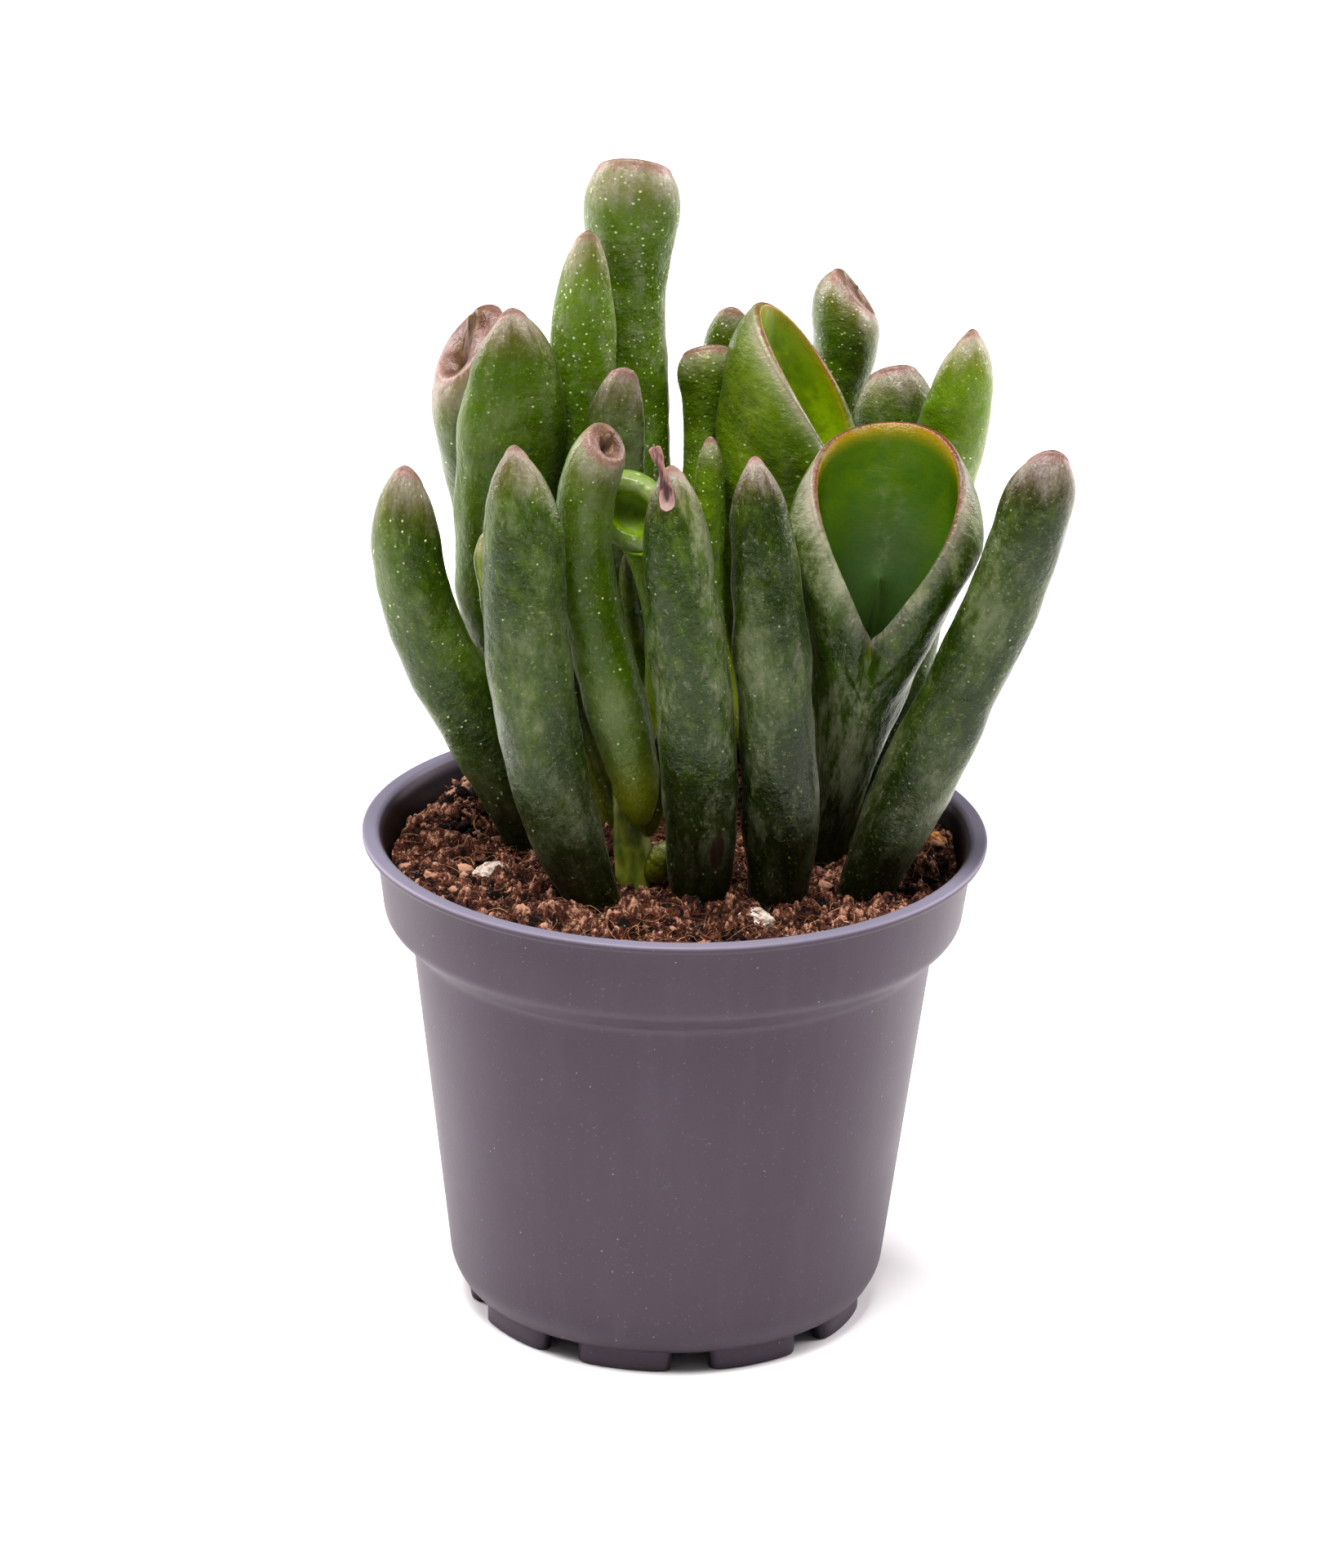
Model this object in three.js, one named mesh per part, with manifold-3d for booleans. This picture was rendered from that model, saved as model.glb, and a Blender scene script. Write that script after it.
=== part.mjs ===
// Potted coral jade: finger-like jade leaves on short stems, in peat, in a 60 mm plastic nursery pot.
// Millimetres, +Z up. The pot stands on z = 0 and the whole part is centred in plan on the origin.
import * as THREE from 'three';
import { mergeVertices } from 'three/addons/utils/BufferGeometryUtils.js';
import Module from 'manifold-3d';

const wasm = await Module();
wasm.setup();

// Clearance kept between any two pieces that touch.
const gap = 0.3;

// Pot, as radius and height pairs where both matter.
const potSides = 40;
const lip = { radius: 30, top: 48.4, drop: 0.9, inner: 28.5, rounding: 0.3, innerSlope: 0.8 };
const band = { topRadius: 28.7, footRadius: 27.7, footHeight: 40.2 };
const step = { radius: 25.1, height: 37.9 };
const base = { radius: 20.9, height: 4.4, cornerRadius: 19.9, cornerHeight: 2.6, rounding: 0.8 };
const floorUnderside = 2;
const floorTop = 3.2;
const wall = 0.85;
// The step inside sits this much higher than outside, which keeps the wall even.
const wallRise = 0.4;
const foot = { count: 9, outer: 19.1, inner: 17.2, spanDeg: 28, firstDeg: -102, overlap: 0.5 };
const drain = { radius: 2, ringRadius: 13.5, sides: 8 };

// Peat: its level at the wall, how much it rises to the middle, and one clump at the back left.
const peat = {
  level: 44.4, dome: 1.1, bump: 0.45, bottom: floorTop + gap, cornerInset: 1.2,
  sides: 36, ringShares: [1, 0.9, 0.78, 0.65, 0.5, 0.34, 0.17],
};
const clump = { x: -19.5, y: 10.5, height: 3.2, spread: 3.4 };

// Stems: route through four points and the radius; each narrows by taper and has a rounded top.
const taper = 0.15;
const topShare = 0.6;
const stems = {
  stem_front: {
    points: [[-3.5, -7.5, 36], [-3.6, -7.4, 45], [-4.2, -6.8, 51], [-4.6, -5.6, 57]], radius: 1.5,
  },
  stem_left: { points: [[-8, 7, 34], [-8.4, 7.4, 44], [-8.2, 8, 53], [-7.6, 8.6, 61]], radius: 2.3 },
  stem_right: { points: [[9.5, 4, 34], [10, 4.8, 43], [10, 5.6, 50], [9.6, 6.2, 57]], radius: 2.3 },
};

// Every leaf: how much of its foot is rounded, how square its tip is, how its rings crowd to the tip,
// how sharp a folded mouth's point is, and how far its lip stands up.
const leafForm = {
  footRound: 0.09, tipPower: 2.3, crowding: 1.15, foldPower: 1.4, lipRise: 0.2, leastMouth: 0.4,
};

// Leaf defaults. flat is thickness over width; face is the direction in plan that the hollow tip faces;
// slant is how far down the leaf the tip's cut reaches; rim is the mouth's share of the width; round is
// where the tip starts to round; cup is the bowl's depth as a share of the length.
const leafDefaults = {
  flat: 0.85, face: 90, slant: 0.06, rim: 0.42, round: 0.83, cup: 0.035, wall: 0.45, folded: false,
  foot: 0.5, sides: 10, rings: 10,
};

// Leaves: route (foot, lower third, upper third, tip) and width at five even stations.
const leaves = {
  outer_left: {
    points: [[-12, 2, 41.5], [-17.9, 1, 56.5], [-24, 0, 68.5], [-25.8, 1, 84]],
    widths: [4.7, 7.1, 7.8, 7.5, 7.1], face: 75, round: 0.86,
  },
  left_back_spoon: {
    points: [[-11, 11.5, 54], [-16.8, 13.5, 68], [-19.9, 14, 81], [-20.7, 14, 95.4]],
    widths: [3.2, 5.2, 6.2, 8.2, 10.4], face: 205, slant: 0.14, rim: 0.74, round: 0.86, cup: 0.12,
    on: 'stem_left',
  },
  left_broad: {
    points: [[-11, 8, 51], [-17, 7, 66.5], [-16.5, 7, 82.5], [-16.5, 8, 97.5]],
    widths: [3.5, 6.6, 9.1, 10, 8.5], face: 95, flat: 0.62, rim: 0.36, round: 0.76, on: 'stem_left',
  },
  front_left: {
    points: [[-6, -11, 42.5], [-12.3, -13, 60], [-14.3, -14, 76], [-15.4, -13, 91]],
    widths: [4.8, 7.5, 8.1, 8, 7.2], face: 75, rim: 0.36, round: 0.79,
  },
  left_young: {
    points: [[-9, 4.5, 51], [-14, -2.5, 62], [-17, -5, 72.5], [-18, -5, 80]],
    widths: [2, 2.8, 3.3, 3.4, 2.6], face: 60, on: 'stem_left', sides: 8, rings: 8,
  },
  tall_spotted: {
    points: [[-7.8, 8.8, 61.5], [-9, 10, 75], [-9.7, 11, 89.5], [-9.3, 11, 104.5]],
    widths: [3.2, 5.1, 6.2, 6.3, 5.8], round: 0.72, on: 'stem_left',
  },
  tallest: {
    points: [[-5.5, 9.5, 57.5], [-4, 14, 78], [-5, 16.5, 93.5], [-5, 17.5, 110.5]],
    widths: [3.5, 5.2, 6.2, 6.7, 12.8], round: 0.83, on: 'stem_left', rings: 12,
  },
  middle_tip: {
    points: [[-5.6, 6.6, 57], [-5.5, 5, 70], [-6.5, 5, 81.5], [-5.5, 5, 93]],
    widths: [3.1, 4.9, 5.6, 6, 5], round: 0.72, on: 'stem_left',
  },
  front_neck: {
    points: [[-3.4, -9.4, 52.5], [-6, -9.5, 65.5], [-9.5, -9, 78.5], [-5.8, -8, 91.7]],
    widths: [3.5, 5.6, 5.6, 4.6, 6.9], face: 20, rim: 0.58, round: 0.88, slant: 0.04, on: 'stem_front',
    rings: 12,
  },
  little_cup: {
    points: [[-3.2, -5, 55.5], [-2, -3.4, 65], [-3.5, -2.8, 74.5], [-5, -5, 85]],
    widths: [1.5, 1.9, 2.2, 4, 7.1], face: -90, slant: 0.12, rim: 0.86, round: 0.86, cup: 0.14,
    on: 'stem_front',
  },
  front_middle: {
    points: [[2.5, -10, 43], [2, -14, 61], [0.5, -16, 75.5], [-1, -15, 90]],
    widths: [5.2, 6.8, 7.5, 7.2, 6.9], round: 0.8,
  },
  front_right: {
    points: [[9.6, -10, 42.5], [9.6, -13, 60.5], [8.2, -14, 76.5], [6.7, -12, 90]],
    widths: [5.1, 7.4, 7.8, 6.8, 5.7], round: 0.78, rim: 0.36,
  },
  big_trumpet: {
    points: [[14, -0.8, 43.5], [16.5, -4.5, 60], [18.7, -6, 76.5], [19.2, -2, 92]],
    widths: [3.9, 5.4, 10.4, 17.8, 19.9], face: -90, slant: 0.46, rim: 0.78, round: 0.84, cup: 0.34,
    flat: 0.62, wall: 1.1, folded: true, sides: 16, rings: 12,
  },
  folded_spoon: {
    points: [[9.6, 6.4, 57.5], [9.8, 9, 68.5], [11.4, 10.5, 82], [12.9, 10.5, 96.3]],
    widths: [3.2, 6.8, 10.2, 12.9, 12.8], face: -20, slant: 0.46, rim: 0.8, round: 0.86, cup: 0.34,
    flat: 1.2, wall: 1, folded: true, sides: 16, rings: 12, on: 'stem_right',
  },
  right_back_club: {
    points: [[10.6, 9, 51], [13, 17, 68], [14.7, 21.5, 84], [16.8, 23, 96.5]],
    widths: [3, 4, 4.6, 6.6, 11.2], face: 0, slant: 0.1, rim: 0.55, round: 0.85, on: 'stem_right',
  },
  right_back_round: {
    points: [[12.6, 7.6, 51], [17.5, 13.5, 66], [20, 16.5, 78.5], [20, 18, 89.5]],
    widths: [3.2, 5.5, 7, 8, 8.1], face: 100, rim: 0.5, on: 'stem_right',
  },
  right_back_point: {
    points: [[12.6, 5.6, 54], [20.8, 6, 71], [25.1, 7, 84], [26.7, 8, 96.4]],
    widths: [3.3, 5.5, 6.8, 7.4, 6.9], face: 130, round: 0.76, rim: 0.36, on: 'stem_right',
  },
  outer_right: {
    points: [[17, -7.5, 42.5], [23, -9, 59], [29.2, -10.5, 74.5], [34, -10.5, 91]],
    widths: [5.1, 7.8, 8.1, 7.9, 8], face: 100, round: 0.86,
  },
  back_spotted: {
    points: [[9, 9, 52], [6, 17.5, 70], [4.2, 19.5, 83], [4.5, 19.5, 94.5]],
    widths: [3, 4, 4.8, 4.9, 5.1], on: 'stem_right',
  },
  club_spotted: {
    points: [[7.2, 7.4, 53.5], [2.5, 12.5, 68.5], [2, 14.5, 81], [2, 15.5, 92]],
    widths: [2.8, 4, 4.4, 4, 7], face: 100, round: 0.86, on: 'stem_right',
  },
  middle_short: {
    points: [[7, 4.6, 55], [3, 5.6, 66.8], [2.5, 6.2, 76.6], [2.6, 7.2, 85.5]],
    widths: [2.2, 2.7, 3.2, 3.2, 3.1], round: 0.74, on: 'stem_right', sides: 8, rings: 8,
  },
  left_inner_small: {
    points: [[-5.6, -6.6, 51], [-8, -5.5, 57.5], [-9.5, -5.5, 63], [-10, -5.5, 69.5]],
    widths: [1.6, 2.2, 2.3, 2.2, 1.8], face: 30, on: 'stem_front', sides: 8, rings: 7,
  },
  bright_strip: {
    points: [[-4.8, -4.4, 57.5], [-3, 0, 62], [-4.2, 0.6, 69], [-5, 0.4, 76]],
    widths: [1.7, 2, 2.3, 2.3, 1.8], face: 0, on: 'stem_front', sides: 8, rings: 7,
  },
  small_dark: {
    points: [[-2.6, -7, 50.5], [-1.4, -7.4, 55], [-1.2, -7.6, 58.5], [-1.4, -7.8, 61.5]],
    widths: [1.4, 1.8, 2, 1.9, 1.6], on: 'stem_front', sides: 8, rings: 7,
  },
  front_bud: {
    points: [[-2.3, -8.4, 46.5], [-1.4, -8.8, 48], [-1, -9, 49.4], [-0.9, -9, 50.6]],
    widths: [1.6, 2.4, 2.7, 2.5, 1.8], on: 'stem_front', sides: 8, rings: 7,
  },
  back_left: {
    points: [[-10, 10.4, 47], [-13.5, 17.5, 58], [-15, 21, 70], [-15.5, 22.5, 82]],
    widths: [3.6, 5.8, 6.8, 7, 6.4], face: -60, on: 'stem_left',
  },
  back_middle: {
    points: [[-7, 11, 47], [-7.5, 18.5, 60], [-7.8, 22.5, 72], [-7.5, 24.5, 84]],
    widths: [3.4, 5.6, 6.6, 6.8, 6.2], face: -90, on: 'stem_left',
  },
  back_inner: {
    points: [[-3, 9.4, 43], [-0.8, 17, 55.5], [-0.2, 20.8, 65], [-0.2, 22.3, 74]],
    widths: [3.4, 5.2, 6, 6, 5.6], face: -90,
  },
  back_right: {
    points: [[9.6, 9.8, 43], [9.8, 18.5, 54], [9.4, 24, 64], [9, 26.5, 75]],
    widths: [3.6, 5.6, 6.6, 6.6, 6], face: -95,
  },
  far_right: {
    points: [[14.6, 8, 43], [19.5, 13.5, 52.5], [22, 17.5, 60.5], [23, 20, 68]],
    widths: [3.6, 5.6, 6.4, 6.4, 5.8], face: -130,
  },
  far_left: {
    points: [[-12.4, 7.4, 43], [-16.5, 12.6, 51], [-19.6, 16.6, 56.5], [-21.4, 19.4, 62.5]],
    widths: [3.4, 5, 5.8, 5.8, 5.2], face: -40,
  },
  back_low: {
    points: [[1.6, 12.4, 43], [3, 20, 50.5], [3.6, 25.4, 57], [3.4, 28.4, 64.5]],
    widths: [3.4, 5, 5.8, 5.8, 5.2], face: -90,
  },
};

// The dried, curled end that stands out of front_middle's tip.
const driedTip = {
  points: [[-0.4, -15, 87.6], [-1.6, -15.6, 90], [-2.4, -15.2, 91.6], [-1.8, -14.6, 92.6]], radius: 0.5,
};

// Grains in the peat: place, size and how far each is stretched in plan. Each is uneven and a little flat.
const grainPull = 0.16;
const grainHeight = 0.8;
const grains = {
  perlite_left: { at: [-17.4, -5, 45.2], radius: 1.6, stretch: 1.15 },
  perlite_front: { at: [7.6, -15.6, 45.3], radius: 1.5, stretch: 1.25 },
  perlite_right: { at: [21, -3.4, 45.1], radius: 0.8, stretch: 1.1 },
  bark_right: { at: [24.4, 5.6, 45], radius: 1.1, stretch: 1.3 },
  perlite_back: { at: [-5, 23, 45], radius: 1.2, stretch: 1.2 },
};

// Finishes.
const colour = {
  pot: '#6b646e', peat: '#4a2f24', stem: '#7d8b35', leaf: '#4f7a35', darkLeaf: '#3f6433',
  brightLeaf: '#7fa02c', perlite: '#d8cdc4', bark: '#b98a5c',
};
const brightLeaves = ['bright_strip', 'left_young', 'folded_spoon', 'right_back_point', 'little_cup'];
const darkLeaves = ['front_neck', 'left_broad', 'small_dark', 'front_bud', 'outer_right'];

const vector = (p) => new THREE.Vector3(...p);
const radians = THREE.MathUtils.degToRad;

// A cubic curve that passes through four points at even steps.
function routeThrough(points) {
  const [a, b, c, d] = points.map(vector);
  const mix = (ka, kb, kc, kd) => new THREE.Vector3()
    .addScaledVector(a, ka / 6).addScaledVector(b, kb / 6)
    .addScaledVector(c, kc / 6).addScaledVector(d, kd / 6);
  return new THREE.CubicBezierCurve3(a, mix(-5, 18, -9, 2), mix(2, -9, 18, -5), d);
}

// A smooth value through evenly spaced stations, t from 0 to 1.
function alongStations(values, t) {
  const last = values.length - 1;
  const at = (i) => {
    if (i < 0) return 2 * values[0] - values[1];
    if (i > last) return 2 * values[last] - values[last - 1];
    return values[i];
  };
  const u = THREE.MathUtils.clamp(t * last, 0, last - 1e-6);
  const i = Math.floor(u);
  const f = u - i;
  const [p, q, r, s] = [at(i - 1), at(i), at(i + 1), at(i + 2)];
  const bend = 2 * p - 5 * q + 4 * r - s;
  const twist = 3 * q - p - 3 * r + s;
  return 0.5 * (2 * q + (r - p) * f + bend * f ** 2 + twist * f ** 3);
}

// A closed body from rings of points, each end closed by a pole.
function closedRings(rings, firstPole, lastPole) {
  const sides = rings[0].length;
  const points = [firstPole, ...rings.flat(), lastPole];
  const end = points.length - 1;
  const index = [];
  for (let i = 0; i < sides; i += 1) {
    const j = (i + 1) % sides;
    index.push(0, 1 + j, 1 + i);
    for (let k = 0; k < rings.length - 1; k += 1) {
      const low = 1 + k * sides;
      const high = low + sides;
      index.push(low + i, low + j, high + j, low + i, high + j, high + i);
    }
    const top = 1 + (rings.length - 1) * sides;
    index.push(top + i, top + j, end);
  }
  const geometry = new THREE.BufferGeometry().setFromPoints(points);
  geometry.setIndex(index);
  return geometry;
}

function ringCentre(ring) {
  return ring.reduce((sum, p) => sum.add(p), new THREE.Vector3()).divideScalar(ring.length);
}

// One leaf: elliptic sections along the route, a rounded tip cut on a slant, a lip and a hollow bowl.
// grow widens it all round, for cutting what it stands in.
function leafGeometry(row, grow = 0) {
  const leaf = { ...leafDefaults, ...row };
  const route = routeThrough(leaf.points);
  const facing = new THREE.Vector3(Math.cos(radians(leaf.face)), Math.sin(radians(leaf.face)), 0);
  const { footRound, tipPower, crowding, foldPower, lipRise, leastMouth } = leafForm;

  const share = (s) => {
    const tip = Math.max(0, (s - leaf.round) / (1 - leaf.round));
    const tipShare = (1 - tip ** tipPower * (1 - leaf.rim ** tipPower)) ** (1 / tipPower);
    const low = Math.max(0, (footRound - s) / footRound);
    return tipShare * Math.sqrt(1 - low ** 2 * (1 - leaf.foot ** 2));
  };
  const halfWidth = (s, t) => (alongStations(leaf.widths, t) / 2) * share(s);
  // The slant is deepest on the hollow side; a folded mouth comes to a point there.
  const drop = (angle) => {
    const up = (1 + Math.sin(angle)) / 2;
    if (!leaf.folded) return up;
    const away = Math.abs(Math.atan2(Math.cos(angle), Math.sin(angle))) / Math.PI;
    return (1 - away) ** foldPower;
  };
  const pointAt = (s, angle, shrink, rise = 0) => {
    const t = s * (1 - leaf.slant * drop(angle));
    const along = route.getTangent(t);
    const front = facing.clone().addScaledVector(along, -along.dot(facing)).normalize();
    const across = new THREE.Vector3().crossVectors(front, along);
    const half = halfWidth(s, t) * shrink + grow;
    return route.getPoint(t)
      .addScaledVector(across, half * Math.cos(angle))
      .addScaledVector(front, half * leaf.flat * Math.sin(angle))
      .addScaledVector(along, rise);
  };
  const ring = (s, shrink, rise) => Array.from({ length: leaf.sides }, (_, i) => (
    pointAt(s, (i / leaf.sides) * 2 * Math.PI, shrink, rise)));

  const rings = [];
  for (let k = 0; k <= leaf.rings; k += 1) {
    const s = 1 - (1 - k / leaf.rings) ** crowding;
    rings.push(ring(s, 1));
  }
  const mouth = halfWidth(1, 1);
  const innerShare = Math.max(leastMouth, 1 - leaf.wall / mouth);
  rings.push(ring(1, (1 + innerShare) / 2, lipRise));
  const bowlRings = leaf.folded ? 5 : 2;
  for (let k = 0; k < bowlRings; k += 1) {
    const u = k / bowlRings;
    const s = 1 - leaf.cup * u;
    const narrow = Math.min(1, mouth / halfWidth(s, s));
    rings.push(ring(s, innerShare * narrow * Math.sqrt(1 - u ** 2)));
  }
  const bottom = ring(1 - leaf.cup, 0.01);
  return closedRings(rings, ringCentre(rings[0]), ringCentre(bottom));
}

// A round rod along a route, narrowing a little to a rounded top.
function rodGeometry({ points, radius }, grow = 0, sides = 10, steps = 8) {
  const route = routeThrough(points);
  const upright = new THREE.Vector3(0, 1, 0);
  const rings = [];
  for (let k = 0; k <= steps; k += 1) {
    const t = k / steps;
    const along = route.getTangent(t);
    const front = upright.clone().addScaledVector(along, -along.dot(upright)).normalize();
    const across = new THREE.Vector3().crossVectors(front, along);
    const half = radius * (1 - taper * t) * (k === steps ? topShare : 1) + grow;
    rings.push(Array.from({ length: sides }, (_, i) => {
      const angle = (i / sides) * 2 * Math.PI;
      return route.getPoint(t)
        .addScaledVector(across, half * Math.cos(angle))
        .addScaledVector(front, half * Math.sin(angle));
    }));
  }
  return closedRings(rings, ringCentre(rings[0]), ringCentre(rings[steps]));
}

function solidOf(geometry) {
  const plain = geometry.clone();
  plain.deleteAttribute('normal');
  plain.deleteAttribute('uv');
  const merged = mergeVertices(plain, 1e-4);
  return new wasm.Manifold(new wasm.Mesh({
    numProp: 3,
    vertProperties: new Float32Array(merged.attributes.position.array),
    triVerts: new Uint32Array(merged.index.array),
  }));
}

function geometryOf(solid) {
  const mesh = solid.getMesh();
  const geometry = new THREE.BufferGeometry();
  geometry.setAttribute('position', new THREE.BufferAttribute(new Float32Array(mesh.vertProperties), 3));
  geometry.setIndex(new THREE.BufferAttribute(new Uint32Array(mesh.triVerts), 1));
  return geometry;
}

// A profile of radius and height pairs turned about +Z.
function turned(profile, sides) {
  const points = profile.map(([r, z]) => new THREE.Vector2(r, z));
  const geometry = new THREE.LatheGeometry(points, sides);
  geometry.rotateX(Math.PI / 2);
  return geometry;
}

// The pot: turned shell with a rolled lip and a stepped band, feet round the base, drain holes between them.
function potGeometry() {
  const profile = [
    [0, floorUnderside],
    [base.cornerRadius - base.rounding, floorUnderside],
    [base.cornerRadius, base.cornerHeight],
    [base.radius, base.height],
    [step.radius, step.height],
    [band.footRadius, band.footHeight],
    [band.topRadius, lip.top - lip.drop],
    [lip.radius - lip.rounding, lip.top - lip.drop],
    [lip.radius, lip.top - lip.drop / 2],
    [lip.radius - lip.rounding, lip.top],
    [lip.inner, lip.top],
    [band.topRadius - wall, lip.top - lip.innerSlope],
    [band.footRadius - wall, band.footHeight + wallRise],
    [step.radius - wall, step.height + wallRise],
    [base.radius - wall, base.height],
    [base.cornerRadius - wall, floorTop],
    [0, floorTop],
  ];
  let solid = solidOf(turned(profile, potSides));
  const pitch = 360 / foot.count;
  for (let i = 0; i < foot.count; i += 1) {
    const start = radians(foot.firstDeg + i * pitch - foot.spanDeg / 2);
    const end = start + radians(foot.spanDeg);
    const outline = new THREE.Shape();
    outline.absarc(0, 0, foot.outer, start, end, false);
    outline.absarc(0, 0, foot.inner, end, start, true);
    const block = new THREE.ExtrudeGeometry(outline, {
      depth: floorUnderside + foot.overlap, bevelEnabled: false, curveSegments: 4,
    });
    solid = solid.add(solidOf(block));
    const between = radians(foot.firstDeg + (i + 0.5) * pitch);
    const through = 3 * (floorTop - floorUnderside);
    const bore = new THREE.CylinderGeometry(drain.radius, drain.radius, through, drain.sides);
    bore.rotateX(Math.PI / 2);
    bore.translate(drain.ringRadius * Math.cos(between), drain.ringRadius * Math.sin(between), floorTop);
    solid = solid.subtract(solidOf(bore));
  }
  return geometryOf(solid);
}

// Height of the peat: a low dome, crossed waves (radians per mm) for uneven ground, and one clump.
function peatHeight(x, y, edge) {
  const r = Math.hypot(x, y) / edge;
  const short = Math.sin(0.62 * x + 0.9) * Math.cos(0.55 * y - 0.4);
  const long = Math.sin(0.33 * x - 0.47 * y);
  const uneven = short + 0.6 * long;
  const away = ((x - clump.x) ** 2 + (y - clump.y) ** 2) / clump.spread ** 2;
  return peat.level + peat.dome * (1 - r ** 2) + peat.bump * uneven + clump.height * Math.exp(-away);
}

function peatGeometry() {
  const inside = (z) => {
    const t = (z - band.footHeight) / (lip.top - band.footHeight);
    return THREE.MathUtils.lerp(band.footRadius, band.topRadius, t) - wall - gap;
  };
  const edge = inside(peat.level);
  const level = (radius, height) => Array.from({ length: peat.sides }, (_, i) => {
    const a = (i / peat.sides) * 2 * Math.PI;
    const [x, y] = [radius * Math.cos(a), radius * Math.sin(a)];
    return new THREE.Vector3(x, y, height ?? peatHeight(x, y, edge));
  });
  const rings = [
    level(base.cornerRadius - wall - peat.cornerInset, peat.bottom),
    level(base.radius - wall - gap, base.height + gap),
    level(step.radius - wall - gap, step.height + wallRise + gap),
    level(band.footRadius - wall - gap, band.footHeight + wallRise + gap),
    ...peat.ringShares.map((share) => level(edge * share)),
  ];
  const bottom = new THREE.Vector3(0, 0, peat.bottom);
  return closedRings(rings, bottom, new THREE.Vector3(0, 0, peatHeight(0, 0, edge)));
}

// A crumb: an icosahedron stretched and unevenly pulled, the same way each time.
function grainGeometry({ at, radius, stretch }, seed, grow = 0) {
  const geometry = new THREE.IcosahedronGeometry(radius, 1);
  const place = geometry.attributes.position;
  for (let i = 0; i < place.count; i += 1) {
    const p = new THREE.Vector3().fromBufferAttribute(place, i);
    const wave = Math.sin(3.1 * p.x / radius + seed) * Math.cos(2.7 * p.y / radius - 2 * seed);
    p.multiplyScalar(1 + grainPull * wave + grow / radius);
    place.setXYZ(i, p.x * stretch + at[0], p.y + at[1], p.z * grainHeight + at[2]);
  }
  return geometry;
}

const part = new THREE.Group();

function addPiece(name, geometry, hex, roughness = 0.55) {
  geometry.computeVertexNormals();
  const material = new THREE.MeshStandardMaterial({ color: hex, roughness, metalness: 0 });
  const mesh = new THREE.Mesh(geometry, material);
  mesh.name = name;
  part.add(mesh);
}

addPiece('pot', potGeometry(), colour.pot, 0.5);

let ground = solidOf(peatGeometry());
const highestGround = peat.level + clump.height;
const standingInPeat = (geometry) => {
  geometry.computeBoundingBox();
  return geometry.boundingBox.min.z < highestGround;
};
const pressInto = (geometry) => {
  if (standingInPeat(geometry)) ground = ground.subtract(solidOf(geometry));
};

const grownStems = {};
for (const [name, stem] of Object.entries(stems)) {
  addPiece(name, rodGeometry(stem), colour.stem, 0.6);
  grownStems[name] = solidOf(rodGeometry(stem, gap));
  pressInto(rodGeometry(stem, gap));
}

for (const [name, leaf] of Object.entries(leaves)) {
  let solid = solidOf(leafGeometry(leaf));
  if (name === 'front_middle') solid = solid.add(solidOf(rodGeometry(driedTip, 0, 6, 6)));
  if (leaf.on) solid = solid.subtract(grownStems[leaf.on]);
  let hex = colour.leaf;
  if (brightLeaves.includes(name)) hex = colour.brightLeaf;
  if (darkLeaves.includes(name)) hex = colour.darkLeaf;
  addPiece(`leaf_${name}`, geometryOf(solid), hex, 0.45);
  pressInto(leafGeometry(leaf, gap));
}

Object.entries(grains).forEach(([name, grain], seed) => {
  const hex = name.startsWith('bark') ? colour.bark : colour.perlite;
  addPiece(name, geometryOf(solidOf(grainGeometry(grain, seed))), hex, 0.9);
  pressInto(grainGeometry(grain, seed, gap));
});

addPiece('peat', geometryOf(ground), colour.peat, 0.95);

// Centre the whole part in plan.
const centre = new THREE.Box3().setFromObject(part).getCenter(new THREE.Vector3());
part.position.set(-centre.x, -centre.y, 0);
part.updateMatrixWorld(true);

export default part;
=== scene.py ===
"""Potted coral jade: fine leaves, stems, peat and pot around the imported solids. Metres, +Z up."""

import math
from functools import partial, reduce

import bmesh
import bpy
import numpy as np
from mathutils import Matrix, Vector


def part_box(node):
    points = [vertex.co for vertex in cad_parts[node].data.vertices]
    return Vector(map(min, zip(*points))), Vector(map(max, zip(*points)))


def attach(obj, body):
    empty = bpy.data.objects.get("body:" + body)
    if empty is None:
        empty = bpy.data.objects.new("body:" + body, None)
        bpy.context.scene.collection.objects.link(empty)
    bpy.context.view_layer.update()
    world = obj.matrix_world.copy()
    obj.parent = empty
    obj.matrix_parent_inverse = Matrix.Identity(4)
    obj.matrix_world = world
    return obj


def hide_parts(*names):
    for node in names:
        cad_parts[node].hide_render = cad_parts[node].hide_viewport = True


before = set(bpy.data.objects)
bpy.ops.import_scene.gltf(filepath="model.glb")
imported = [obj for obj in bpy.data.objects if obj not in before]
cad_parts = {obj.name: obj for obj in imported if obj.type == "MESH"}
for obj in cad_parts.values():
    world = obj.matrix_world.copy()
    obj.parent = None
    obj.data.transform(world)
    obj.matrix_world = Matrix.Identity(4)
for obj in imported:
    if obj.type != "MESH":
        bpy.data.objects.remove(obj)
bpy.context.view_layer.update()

MM = 0.001
pot_low, pot_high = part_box("pot")
POT_AXIS = np.array([(pot_low.x + pot_high.x) / 2, (pot_low.y + pot_high.y) / 2, 0.0])
draw = np.random.default_rng(7)

# Sizes, in mm from the pot's axis

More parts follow.
